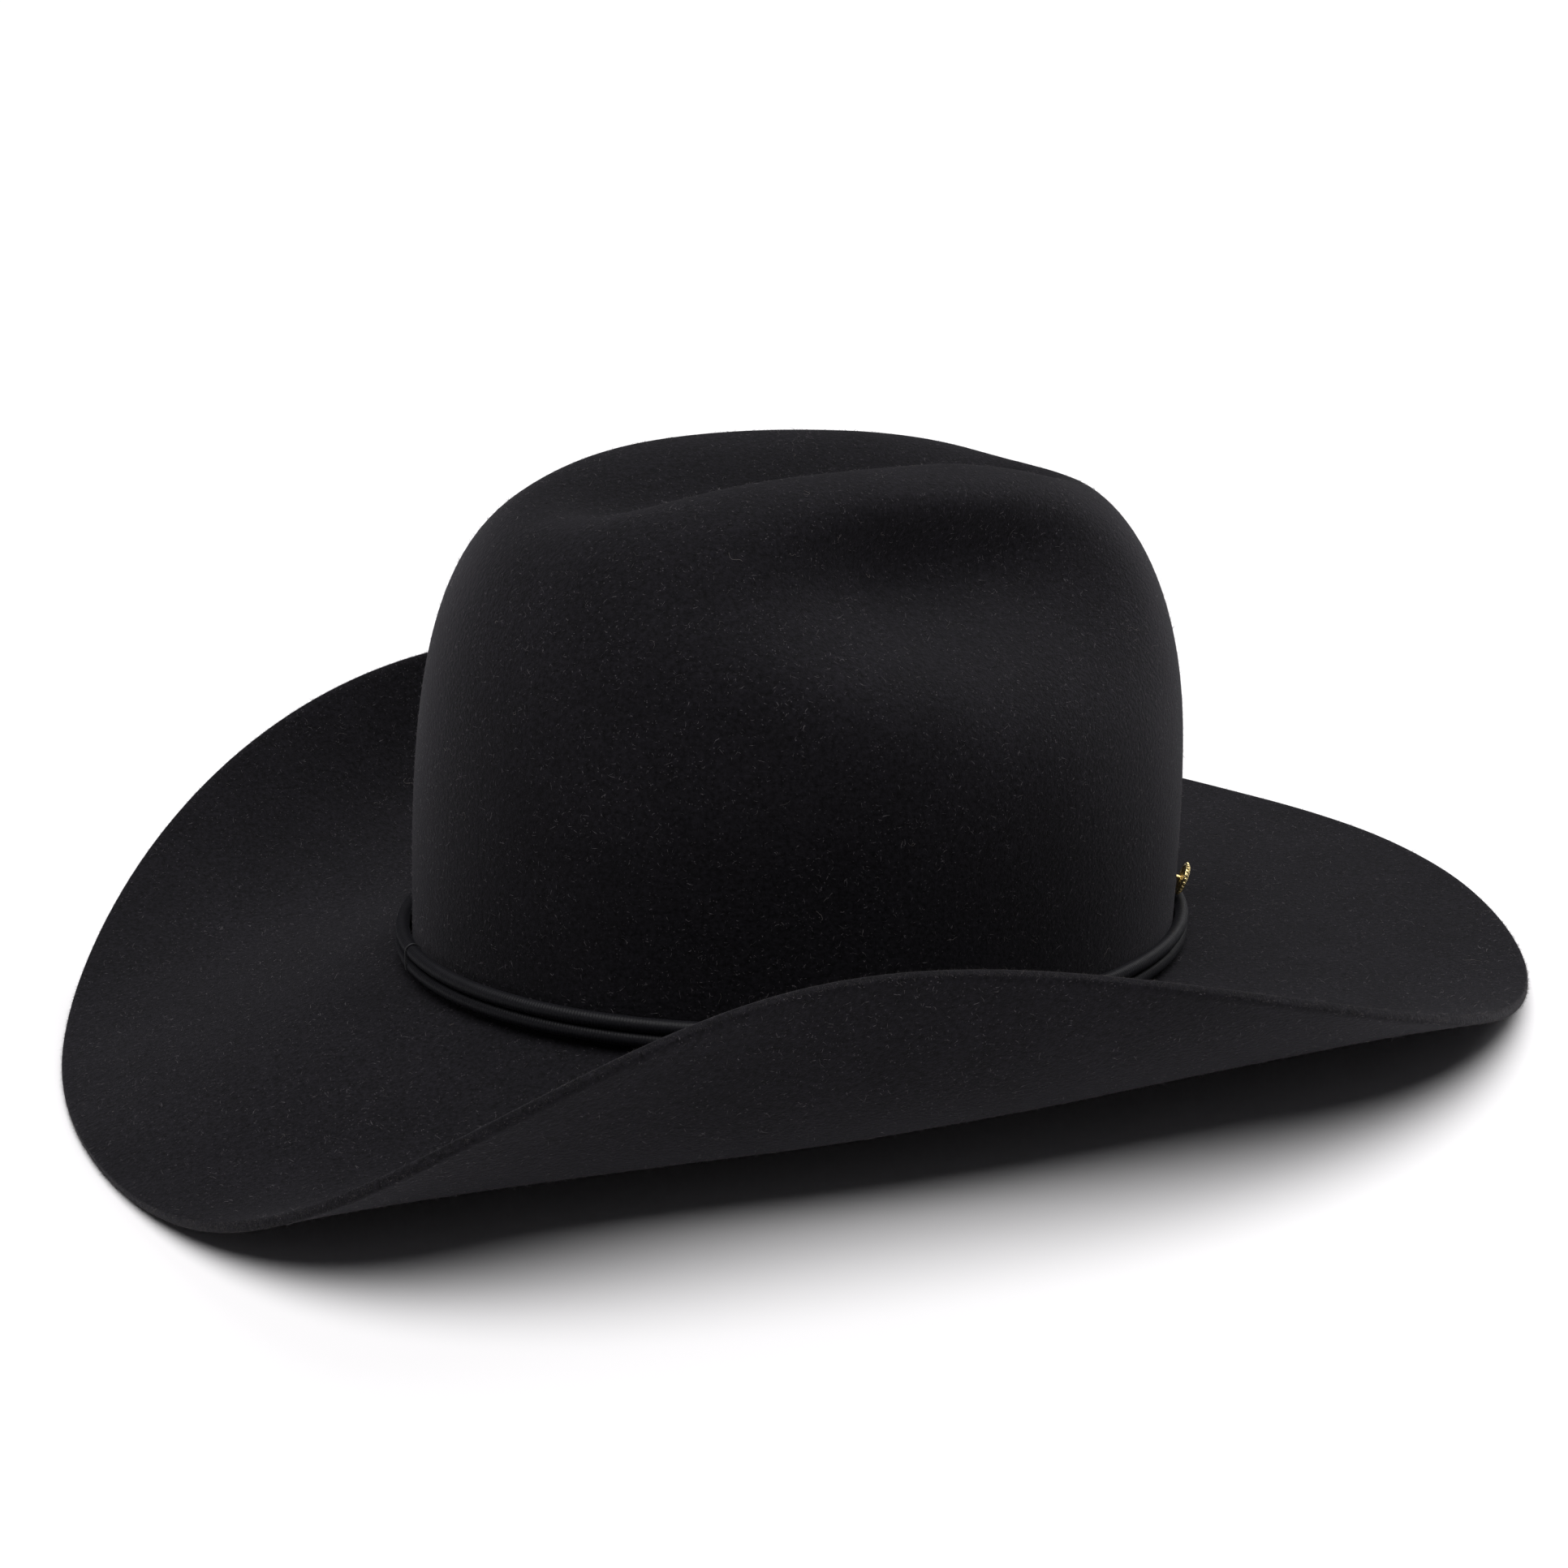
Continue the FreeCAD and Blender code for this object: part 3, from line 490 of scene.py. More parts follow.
def thread_material(name, colour, paler):
    material, tree, shader = new_material(name, colour, Roughness=0.55, Specular_IOR_Level=0.35,
                                          Sheen_Weight=0.1, Sheen_Roughness=0.4)
    twist = noise(tree, object_coordinates(tree, (1.0, 1.0, 2.2)), 2600.0, 3.0)
    tree.links.new(ramp(tree, twist, [(0.3, colour), (0.7, paler)]), shader.inputs["Base Color"])
    bump(tree, shader, twist, 0.00006, 0.6)
    return material


def leather_material():
    """Roan sweatband leather: fine closed grain, pores, a waxy finish and handling marks."""
    material, tree, shader = new_material("sweatband_leather_brown", (0.19, 0.085, 0.04),
                                          Roughness=0.45, Specular_IOR_Level=0.42,
                                          Coat_Weight=0.08, Coat_Roughness=0.35)
    place = object_coordinates(tree)
    grain = cells(tree, place, 1300.0, "Distance", "DISTANCE_TO_EDGE")
    pores = remap(tree, cells(tree, place, 520.0), 0.0, 0.16, 0.0, 1.0)
    clouds = noise(tree, place, 26.0, 5.0)
    colour = ramp(tree, clouds, [(0.3, (0.13, 0.055, 0.024)), (0.55, (0.20, 0.09, 0.042)),
                                 (0.75, (0.27, 0.13, 0.065))])
    colour = mix_colours(tree, math_node(tree, "SUBTRACT", 1.0, pores), colour,
                         (0.055, 0.022, 0.01))
    feed(tree, shader, "Base Color", colour)
    feed(tree, shader, "Roughness", spread(tree, clouds, 0.36, 0.56))
    coarse = bump(tree, shader, remap(tree, grain, 0.0, 0.25, 0.0, 1.0), 0.00006, 0.5)
    bump(tree, shader, pores, 0.00008, 0.5, coarse)
    return material


def satin_material(name, colour, shade):
    """Acetate satin: long floats give a soft directional gloss, with broad patches of painted fold
    light and shade.
    """
    material, tree, shader = new_material(name, colour, Roughness=0.32, Specular_IOR_Level=0.55,
                                          Anisotropic=0.5, Sheen_Weight=0.2, Sheen_Roughness=0.3)
    floats = noise(tree, object_coordinates(tree, (1.0, 1.0, 0.12)), 3000.0, 2.0)
    # Painted light and shade of folds: a broad noise moves the colour from the base tone to the
    # second, paler tone.
    painted_fold_shading = noise(tree, object_coordinates(tree), 45.0, 3.0)
    tree.links.new(mix_colours(tree, spread(tree, painted_fold_shading, 0.0, 1.0), colour, shade),
                   shader.inputs["Base Color"])
    feed(tree, shader, "Roughness", spread(tree, floats, 0.26, 0.42))
    bump(tree, shader, floats, 0.00004, 0.5)
    return material


def woven_material(name, colour, paler, threads_per_metre):
    """Plain weave in warp and weft, with uneven threads."""
    material, tree, shader = new_material(name, colour, Roughness=0.8, Specular_IOR_Level=0.2,
                                          Sheen_Weight=0.1)
    heights = []
    for axis in ("X", "Z"):
        wave = tree.nodes.new("ShaderNodeTexWave")
        wave.bands_direction = axis
        wave.inputs["Scale"].default_value = threads_per_metre / 2
        wave.inputs["Distortion"].default_value = 0.4
        tree.links.new(object_coordinates(tree, (1.0, 1.0, 1.0)), wave.inputs["Vector"])
        heights.append(wave.outputs["Fac"])
    weave = times(tree, *heights)
    uneven = noise(tree, object_coordinates(tree), 700.0, 4.0)
    mixed = math_node(tree, "ADD", times(tree, weave, 0.5),
                      times(tree, uneven, 0.5))
    tree.links.new(ramp(tree, mixed, [(0.25, colour), (0.7, paler)]), shader.inputs["Base Color"])
    bump(tree, shader, mixed, 0.00012, 0.7)
    return material


def gold_material():
    """Cast gold plate: granular skin, dull in the hollows and bright on worn high spots."""
    material, tree, shader = new_material("cast_gold", (0.95, 0.62, 0.19), Metallic=1.0,
                                          Roughness=0.3)
    place = object_coordinates(tree)
    grains = cells(tree, place, 2600.0)
    patina = noise(tree, place, 700.0, 3.0)
    edges = tree.nodes.new("ShaderNodeNewGeometry").outputs["Pointiness"]
    worn = remap(tree, edges, 0.47, 0.55, 0.0, 1.0)
    colour = mix_colours(tree, remap(tree, patina, 0.35, 0.65, 0.0, 1.0),
                         (0.72, 0.40, 0.09), (1.0, 0.70, 0.24))
    colour = mix_colours(tree, worn, colour, (1.0, 0.82, 0.42))
    feed(tree, shader, "Base Color", colour)
    feed(tree, shader, "Roughness", spread(tree, patina, 0.2, 0.42))
    bump(tree, shader, grains, 0.00009, 0.5)
    return material


def vinyl_material():
    material, tree, shader = new_material("clear_vinyl_film", (0.97, 0.98, 1.0), Roughness=0.06,
                                          Transmission_Weight=1.0, IOR=1.35)
    haze = noise(tree, object_coordinates(tree), 60.0, 3.0)
    feed(tree, shader, "Roughness", spread(tree, haze, 0.03, 0.14))
    bump(tree, shader, haze, 0.0004, 0.3)
    return material


FELT_LOOK = felt_material()
NAP_LOOK = fibre_material("felt_nap_fibres", (0.012, 0.0105, 0.0125), (0.16, 0.145, 0.155), 900.0)
EDGE_LOOK = fibre_material("edge_fibres", (0.010, 0.009, 0.010), (0.09, 0.08, 0.078), 700.0)
LINT_LOOK = fibre_material("pale_lint", (0.05, 0.045, 0.045), (0.26, 0.23, 0.22), 60.0)
GROSGRAIN_LOOK = grosgrain_material()
BLACK_THREAD_LOOK = thread_material("black_thread", (0.008, 0.008, 0.009), (0.03, 0.03, 0.033))
TAN_THREAD_LOOK = thread_material("tan_thread", (0.32, 0.22, 0.13), (0.52, 0.40, 0.26))
COTTON_LOOK = thread_material("filler_cotton", (0.45, 0.42, 0.36), (0.72, 0.69, 0.62))
LEATHER_LOOK = leather_material()
# The second colour of each satin is the paler tone of its painted fold light.
SATIN_LOOK = satin_material("liner_satin", (0.62, 0.56, 0.47), (0.78, 0.73, 0.64))
RIBBON_LOOK = satin_material("bow_ribbon", (0.012, 0.011, 0.013), (0.03, 0.028, 0.032))
TAPE_LOOK = woven_material("cotton_tape", (0.10, 0.085, 0.07), (0.22, 0.19, 0.16), 2400.0)
REED_TAPE_LOOK = woven_material("oiled_reed_tape", (0.02, 0.019, 0.018), (0.06, 0.056, 0.05),
                                2600.0)
LABEL_LOOK = woven_material("blank_label", (0.50, 0.47, 0.40), (0.72, 0.69, 0.62), 3000.0)
REED_LOOK = fibre_material("reed_plastic", (0.50, 0.48, 0.42), (0.68, 0.66, 0.60), 300.0)
GOLD_LOOK = gold_material()
VINYL_LOOK = vinyl_material()


# ---------------------------------------------------------------- felt

def felt_hat():
    """The blocked felt: outer skin, inner skin and the rounded raw edge between them."""
    wander = rng.uniform(0, TURN, (3, 4))
    ground_x, ground_y = skin[..., 0], skin[..., 1]
    uneven = sum(SKIN_UNEVEN * np.sin(ground_x / (9 + 5 * k) + wander[0, k])
                 * np.cos(ground_y / (8 + 4 * k) + wander[1, k] + skin[..., 2] / 11.0)
                 for k in range(4))
    uneven[:, :2] = uneven[:, :2].mean()
    outer = skin + normals * uneven[..., None]
    inner = lining_skin + normals * uneven[..., None]
    edge_out = unit(skin[:, -1] - skin[:, -2])
    share = (np.arange(1, EDGE_ROWS + 1) / (EDGE_ROWS + 1))[None, :, None]
    bulge = EDGE_BULGE * np.sin(np.pi * share) ** 0.5
    edge = (outer[:, -1:] * (1 - share) + inner[:, -1:] * share + edge_out[:, None] * bulge)
    sheet = np.concatenate([outer[:, 1:], edge, inner[:, :0:-1]], 1)
    rows = sheet.shape[1]
    points = np.concatenate([sheet.reshape(-1, 3), outer[:1, 0], inner[:1, 0]])
    faces = grid_faces(TURNS, rows, wrap_rows=True)
    top_ring = [turn * rows for turn in range(TURNS)]
    faces += fan(TURNS * rows, top_ring[::-1])
    faces += fan(TURNS * rows + 1, [first + rows - 1 for first in top_ring])
    return make_piece("felt_hat", to_ground(points), faces, "hat", FELT_LOOK,
                      ["felt_body"])


def random_felt_points(count, row_weight, surface, facing):
    """Random points on a felt skin, their normals and directions along the skin."""
    area = np.linalg.norm(np.cross(np.roll(surface, -1, 0)[:, :-1] - surface[:, :-1],
                                   surface[:, 1:] - surface[:, :-1]), axis=-1) * row_weight
    chosen = rng.choice(area.size, count, p=(area / area.sum()).ravel())
    turn, row = np.unravel_index(chosen, area.shape)
    across, down = rng.random((2, count, 1))
    following = (turn + 1) % TURNS

    def blend(grid):
        near = grid[turn, row] * (1 - across) + grid[following, row] * across
        far = grid[turn, row + 1] * (1 - across) + grid[following, row + 1] * across
        return near * (1 - down) + far * down

    return blend(surface), unit(blend(facing)), unit(surface[turn, row + 1] - surface[turn, row])


def above_floor(grid):
    """Fibres on the ground, pressed flat where they would go through it."""
    ground = to_ground(grid)
    ground[..., 2] = ground[..., 2].clip(0.0)
    return ground


def fibres(points, directions, lengths, radius, bend=None):
    """Closed three-sided fibres, straight, or leaning over from their middle by a bend."""
    count = len(points)
    reach = directions * lengths[:, None]
    side = unit(np.cross(directions, unit(rng.normal(size=(count, 3)))))
    other = np.cross(directions, side)
    centres, tips = [points], points + reach
    if bend is not None:
        centres.append(points + reach / 2)
        tips = centres[1] + unit(directions + bend) * lengths[:, None] / 2
    corners = [centre + (side * math.cos(angle) + other * math.sin(angle)) * radius
               for centre in centres for angle in (0, TURN / 3, 2 * TURN / 3)]
    tip = len(corners)
    rings = range(0, tip, 3)
    pattern = [[first + k, first + (k + 1) % 3, first + 3 + (k + 1) % 3, first + 3 + k]
               for first in rings[:-1] for k in range(3)]
    pattern += fan(tip, [tip - 3, tip - 2, tip - 1]) + [[0, 2, 1]]
    grid = np.stack(corners + [tips], 1).reshape(-1, 3)
    first = np.arange(count)[:, None] * (tip + 1)
    return grid, [face for corners_of in pattern
                  for face in (first + np.array(corners_of)).tolist()]


def felt_nap(name, row_weight, surface, facing):
    """Short curved fibres that stand out of one region of the felt."""
    points, outward, down = random_felt_points(NAP_COUNT, row_weight, surface, facing)
    lie = unit(np.cross(outward, unit(rng.normal(size=points.shape))))
    stand = rng.uniform(0.1, 0.7, (NAP_COUNT, 1))
    directions = unit(outward * stand + lie + down * 0.4)
    bend = unit(np.cross(outward, directions)) * rng.normal(0, 0.8, (NAP_COUNT, 1)) - outward * 0.1
    lengths = rng.gamma(4.0, 0.24, NAP_COUNT).clip(0.3, 2.4)
    grid, faces = fibres(points - outward * 0.05, directions, lengths, NAP_RADIUS, bend)
    return make_piece(name, above_floor(grid), faces, "hat", NAP_LOOK,
                      smooth=False)


def edge_fuzz():
    """Loose fibres along the raw cut edge of the brim."""
    turn = rng.random(EDGE_FIBRES) * TURNS
    low = turn.astype(int)
    share = (turn - low)[:, None]
    following = (low + 1) % TURNS

    def at(grid):
        return grid[low, -1] * (1 - share) + grid[following, -1] * share

    depth = rng.random((EDGE_FIBRES, 1))
    points = at(skin) * (1 - depth) + at(lining_skin) * depth
    out = unit(skin[low, -1] - skin[low, -2])
    bulge = EDGE_BULGE * np.sin(np.pi * depth) ** 0.5
    scatter = rng.normal(size=points.shape) * 0.75
    directions = unit(out + scatter)
    lengths = rng.gamma(3.0, 0.17, EDGE_FIBRES).clip(0.15, 1.6)
    grid, faces = fibres(points + out * (bulge - 0.06), directions, lengths, EDGE_RADIUS)
    return make_piece("brim_edge_fuzz", above_floor(grid), faces, "hat",
                      EDGE_LOOK, smooth=False)


def lint(hat):
    """A few pale curled fibres that cling to the felt."""
    tree = BVHTree.FromPolygons([v.co.copy() for v in hat.data.vertices],
                                [tuple(p.vertices) for p in hat.data.polygons])
    points, outward, _ = random_felt_points(LINT_COUNT, 1.0, skin, normals)
    parts = []
    for start, normal in zip(to_ground(points), outward):
        length = rng.gamma(3.0, 0.9) * MM
        heading = unit(np.cross(normal, unit(rng.normal(size=3))))
        curl = rng.normal(0, 0.35)
        place, path = np.array(start), []
        for step in range(LINT_STEPS):
            near, face_normal, _, _ = tree.find_nearest(Vector(place))
            face_normal = np.array(face_normal)
            lift = (0.08 + 0.10 * abs(math.sin(step * 0.8))) * MM
            path.append(np.array(near) + face_normal * lift)
            side = np.cross(face_normal, heading)
            curl = 0.8 * curl + rng.normal(0, 0.22)
            heading = unit(heading * math.cos(curl) + side * math.sin(curl))
            place = place + heading * length / LINT_STEPS
        parts.append(closed_tube(np.array(path), LINT_RADIUS * MM, 4))
    grid, faces = joined(parts)
    return make_piece("felt_lint", grid, faces, "hat", LINT_LOOK)


hat = felt_hat()
rows = np.arange(skin.shape[1] - 1)
crown_rows = (rows < TOP_ROWS + WALL_ROWS).astype(float)
brim_rows = 1.0 - crown_rows
felt_nap("felt_nap_crown", crown_rows, skin, normals)
felt_nap("felt_nap_brim_top", brim_rows, skin, normals)
felt_nap("felt_nap_brim_under", brim_rows, lining_skin, -normals)
edge_fuzz()
lint(hat)


# ---------------------------------------------------------------- band

def ribbed_cord(name, height, node):
    """A cord covered in grosgrain, its ribs running round it."""
    outset = CORD_STANDOFF + CORD_RADIUS
    length = oval_ring(outset, height, 4)[2]
    ribs = round(length / RIB_PITCH)
    count = ribs * RIB_SAMPLES
    path, outward, _ = oval_ring(outset, height, count)
    phase = np.arange(count) / RIB_SAMPLES
    rib = np.abs(np.cos(np.pi * phase)) ** 0.7
    rib = rib * (1 + 0.10 * np.repeat(rng.normal(size=ribs), RIB_SAMPLES))
    radius = (CORD_RADIUS - RIB_DEPTH * (1 - rib)).clip(0, CORD_RADIUS + 0.03)
    up = np.broadcast_to(UP, path.shape)
    points = tube_points(path, outward, up, radius[:, None], CORD_SIDES)
    faces = grid_faces(count, CORD_SIDES, True, True)
    make_piece(name, to_ground(points), faces, "hat", GROSGRAIN_LOOK, [node])


def wall_place(bearing):
    """Point on the oval at a bearing, with its outward and sideways directions."""
    phi = math.radians(bearing)
    point = np.array([HALF_LENGTH * math.cos(phi), HALF_WIDTH * math.sin(phi), 0.0])
    outward = unit(np.array([math.cos(phi) / HALF_LENGTH, math.sin(phi) / HALF_WIDTH, 0.0]))
    return point, outward, np.cross(UP, outward)


def stadium(radius, count):
    """Loop round both cords: distance out and height, and the loop's outward directions."""
    half = (CORD_HEIGHTS[1] - CORD_HEIGHTS[0]) / 2
    straight, bend = 2 * half, math.pi * radius
    travel = np.linspace(0, 2 * (straight + bend), count, endpoint=False)
    out, high, across, up = (np.zeros(count) for _ in range(4))
    for index, distance in enumerate(travel):
        side = 1.0 if distance < straight + bend else -1.0
        distance %= straight + bend
        if distance < straight:
            place, direction = (radius, distance - half), (1.0, 0.0)
        else:
            angle = (distance - straight) / radius
            direction = (math.cos(angle), math.sin(angle))
            place = (radius * direction[0], half + radius * direction[1])
        out[index], high[index] = side * place[0], side * place[1]
        across[index], up[index] = side * direction[0], side * direction[1]
    middle = sum(CORD_HEIGHTS) / 2
    return out + CORD_STANDOFF + CORD_RADIUS, high + middle, across, up


def band_keeper():
    """Grosgrain sleeve over the cords' joint, its ribs along the cords, its ends turned in."""
    point, outward, side = wall_place(90.0)
    count = KEEPER_RIBS * KEEPER_RIB_SAMPLES
    out, high, across, up = stadium(KEEPER_RADIUS, count)
    rib = 0.05 * (np.abs(np.cos(np.pi * np.arange(count) / KEEPER_RIB_SAMPLES)) ** 0.7 - 1.0)
    profile = [(-1.0, -0.30), (-1.0, -0.08), (-0.97, 0.0), (-0.7, 0.0), (-0.35, 0.02), (0.0, 0.0),
               (0.35, 0.02), (0.7, 0.0), (0.97, 0.0), (1.0, -0.08), (1.0, -0.30)]
    rings = []
    for place, swell in profile:
        extra = rib + swell
        rings.append(point + outward * (out + across * extra)[:, None]
                     + UP * (high + up * extra)[:, None]
                     + side * (place * KEEPER_LENGTH / 2))
    make_piece("band_keeper_ribbon", to_ground(np.array(rings)),
               grid_faces(len(rings), count, wrap_rows=True, wrap_columns=True), "hat",
               GROSGRAIN_LOOK, ["band_keeper"])


def band_tack(number, bearing):
    """Three turns of black thread round both cords."""
    point, outward, side = wall_place(bearing)
    out, high, across, up = stadium(TACK_RADIUS, 64)
    parts = []
    for offset in (-0.2, 0.0, 0.2):
        loop = (point + outward * out[:, None] + UP * high[:, None]
                + side * offset)
        away = outward * across[:, None] + UP * up[:, None]
        sideways = np.broadcast_to(side, loop.shape)
        rings = tube_points(loop, away, sideways, TACK_THREAD, 8)
        parts.append((rings, grid_faces(len(loop), 8, True, True)))
    make_joined("band_tack_thread_%d" % number, parts, BLACK_THREAD_LOOK,
                ["band_tack_%d" % number])


ribbed_cord("band_cord_lower", CORD_HEIGHTS[0], "lower_band_cord")
ribbed_cord("band_cord_upper", CORD_HEIGHTS[1], "upper_band_cord")
band_keeper()
for tack, tack_bearing in enumerate((0.0, 180.0, -90.0), start=1):
    band_tack(tack, tack_bearing)


# ---------------------------------------------------------------- sweatband

def sweatband_leather():
    """The leather strip, its edges rounded and skived, its ends butted at the back."""
    half_slit = SEAM_SLIT / 2 / (HALF_WIDTH - LEATHER_INSET)
    count = 420
    section = []
    for place in np.linspace(0, 1, 25):
        section.append((LEATHER_INSET, LEATHER_BOTTOM + place * (LEATHER_TOP - LEATHER_BOTTOM)))
    for angle in np.linspace(0, math.pi, 7)[1:-1]:
        section.append((LEATHER_INSET + LEATHER / 2 * (1 - math.cos(angle)),
                        LEATHER_TOP - 0.25 + 0.25 * math.sin(angle)))
    for place in np.linspace(1, 0, 25):
        section.append((LEATHER_INSET + LEATHER,
                        LEATHER_BOTTOM + place * (LEATHER_TOP - LEATHER_BOTTOM)))
    rows = []
    for inset, height in section:
        ring, outward, _ = oval_ring(-inset, height, count, -math.pi + half_slit,
                                     math.pi - half_slit, closed=False)
        around = np.linspace(0, TURN, count)
        above = max(height - 12.0, 0.0) / LEATHER_TOP
        wave = 0.28 * above * (1 + np.sin(5 * around + 0.8) * np.cos(3 * around))
        near_seam = np.exp(-((np.minimum(around, TURN - around)) / 0.03) ** 2)
        rows.append(ring - outward * (wave * (1 - near_seam) + 0.12 * near_seam)[:, None])
    points = np.array(rows)
    faces = grid_faces(len(rows), count, wrap_rows=True)
    faces += end_caps(len(rows), count)
    make_piece("sweatband_leather_strip", to_ground(points), faces, "hat",
               LEATHER_LOOK, ["sweatband_leather"])


def sweatband_stitches():
    """One row of separate stitches round the foot of the leather."""
    inset = LEATHER_INSET + LEATHER
    stitches = round(oval_ring(-inset, STITCH_HEIGHT, 4)[2] / STITCH_PITCH)
    per = 9
    fine, outward, _ = oval_ring(-inset, STITCH_HEIGHT, stitches * per)
    parts = []
    for stitch in range(stitches):
        index = (stitch * per + np.linspace(0, per * STITCH_SHARE, 7).astype(int)) % len(fine)
        bow = np.sin(np.linspace(0, math.pi, 7)) ** 0.6
        path = fine[index] - outward[index] * (0.02 + 0.22 * bow - 0.05)[:, None]
        path[:, 2] += rng.normal(0, 0.05)
        parts.append(closed_tube(path, STITCH_RADIUS * (0.6 + 0.4 * bow)[:, None], 6))
    make_joined("sweatband_stitches", parts, TAN_THREAD_LOOK,
                ["sweatband_stitching"])


def seam_zigzag():
    """Zigzag lacing that draws the leather's two ends together."""
    steps = 34
    parts = []
    heights = np.linspace(LEATHER_BOTTOM + 4.5, LEATHER_TOP - 3.5, steps)
    back = -(HALF_LENGTH - LEATHER_INSET - LEATHER)
    for index in range(steps - 1):
        sign = 1 if index % 2 else -1
        path = np.array([[back - 0.1, sign * 1.9, heights[index]],
                         [back + 0.22, sign * 1.1, heights[index] + 0.35],
                         [back + 0.26, 0.0, (heights[index] + heights[index + 1]) / 2],
                         [back + 0.22, -sign * 1.1, heights[index + 1] - 0.35],
                         [back - 0.1, -sign * 1.9, heights[index + 1]]])
        parts.append(closed_tube(path, 0.16, 6))
    make_joined("sweatband_seam_lacing", parts, TAN_THREAD_LOOK)


def ribbon(path, width, thick, wave=0.0):
    """A closed band of ribbon along a path in plan, its width upright."""
    path = np.asarray(path, float)
    along = unit(np.gradient(path, axis=0))
    across = np.cross(along, UP)
    rows = []
    for high, side in ((-0.5, -0.5), (-0.25, -0.5), (0.0, -0.5), (0.25, -0.5), (0.5, -0.5),
                       (0.5, 0.5), (0.25, 0.5), (0.0, 0.5), (-0.25, 0.5), (-0.5, 0.5)):
        lift = UP * width * high
        swell = wave * (1 - (2 * high) ** 2)
        rows.append(path + lift + across * (thick * side + swell))
    points = np.array(rows)
    faces = grid_faces(len(rows), len(path), wrap_rows=True)
    faces += end_caps(len(rows), len(path))
    return points, faces


def sweatband_bow():
    """Narrow ribbon bow at the back of the leather: two loops, a knot and two short tails."""
    back = -(HALF_LENGTH - LEATHER_INSET - LEATHER) + 0.3
    thick = 0.22
    parts = []
    for sign in (-1, 1):
        turn = np.linspace(0, TURN, 33)
        reach = BOW_LOOP * (0.5 - 0.5 * np.cos(turn))
        depth = BOW_DEPTH / 2 * (1 + 0.85 * np.sin(turn) * np.sin(turn / 2))
        loop = np.stack([back + depth, sign * reach, np.full(33, BOW_HEIGHT)], -1)
        parts.append(ribbon(loop, BOW_RIBBON, thick, 0.12))
        down = np.linspace(0, 1, 12)
        tail = np.stack([back + 0.35 + 0.5 * down, sign * (1.0 + 7.0 * down),
                         BOW_HEIGHT - 1.0 - 5.5 * down ** 1.2], -1)
        parts.append(ribbon(tail, BOW_RIBBON * 0.62, thick))
    turn = np.linspace(0, TURN, 25)
    half_depth = BOW_DEPTH / 2 + 0.15
    knot = np.stack([back + BOW_DEPTH / 2 + half_depth * np.cos(turn),
                     BOW_KNOT / 2 * np.sin(turn), np.full(25, BOW_HEIGHT)], -1)
    parts.append(ribbon(knot, BOW_RIBBON * 0.7, thick, 0.15))
    make_joined("sweatband_ribbon_bow", parts, RIBBON_LOOK, ["sweatband_bow"])


sweatband_leather()
sweatband_stitches()
seam_zigzag()
sweatband_bow()


# ---------------------------------------------------------------- liner

def liner_side():
    """Satin side lining, upright to the bend and gathered in to the tip in small pleats."""
    count, rows = 720, 40
    faces = grid_faces(2 * rows, count, wrap_rows=True, wrap_columns=True)
    grid = []
    around = TURN * np.arange(count) / count
    pleats = np.abs(np.sin(38 * around + 0.7 * np.sin(3 * around))) ** 1.5
    for layer in (0.0, SATIN):
        layer_rows = []
        for share in np.linspace(0, 1, rows):
            height = LINER_BOTTOM + share * (LINER_TOP - LINER_BOTTOM)
            draw = max(height - LINER_BEND, 0.0) / (LINER_TOP - LINER_BEND)
            a = HALF_LENGTH - LINER_INSET - layer
            b = HALF_WIDTH - LINER_INSET - layer
            a = a + draw * (HALF_LENGTH - LINER_TOP_INSETS[0] - layer - a)
            b = b + draw * (HALF_WIDTH - LINER_TOP_INSETS[1] - layer - b)
            sway = 0.35 * draw * (1 + np.sin(9 * around + 4 * share))
            inward = (0.1 + 1.0 * draw) * pleats * draw ** 0.5 * (1 - draw ** 12) + sway
            out = oval_normals(around, a, b)
            ring = np.stack([a * np.cos(around), b * np.sin(around), 0 * around + height], -1)
            layer_rows.append(ring - out * inward[:, None])
        grid.extend(layer_rows if layer == 0.0 else layer_rows[::-1])
    piece = make_piece("liner_side_satin", to_ground(np.array(grid)), faces, "hat",
                       SATIN_LOOK, ["liner_side"])


def liner_tip():
    """Oval satin tip, a little slack over the label's stitches."""
    a, b = HALF_LENGTH - LINER_TOP_INSETS[0], HALF_WIDTH - LINER_TOP_INSETS[1]
    turns, rings = 180, 36
    turn = TURN * np.arange(turns)[:, None] / turns
    reach = np.arange(1, rings + 1)[None, :] / rings
    x, y = a * reach * np.cos(turn), b * reach * np.sin(turn)
    slack = 0.35 * (1 + np.sin(x / 7.0 + y / 11.0)) * np.exp(-((reach - 0.8) / 0.13) ** 2)
    grids = []
    for height in (LINER_TOP, LINER_TOP + SATIN):
        grids.append(np.stack([x, y, height + slack], -1))
    sheet = np.concatenate([grids[0], grids[1][:, ::-1]], 1)
    columns = sheet.shape[1]
    centres = [[0.0, 0.0, LINER_TOP], [0.0, 0.0, LINER_TOP + SATIN]]
    points = np.concatenate([sheet.reshape(-1, 3), centres])
    faces = grid_faces(turns, columns, wrap_rows=True)
    low_ring = [index * columns for index in range(turns)]
    faces += fan(turns * columns, low_ring[::-1])
    faces += fan(turns * columns + 1, [first + columns - 1 for first in low_ring])
    piece = make_piece("liner_tip_satin", to_ground(points), faces, "hat",
                       SATIN_LOOK, ["liner_tip"])


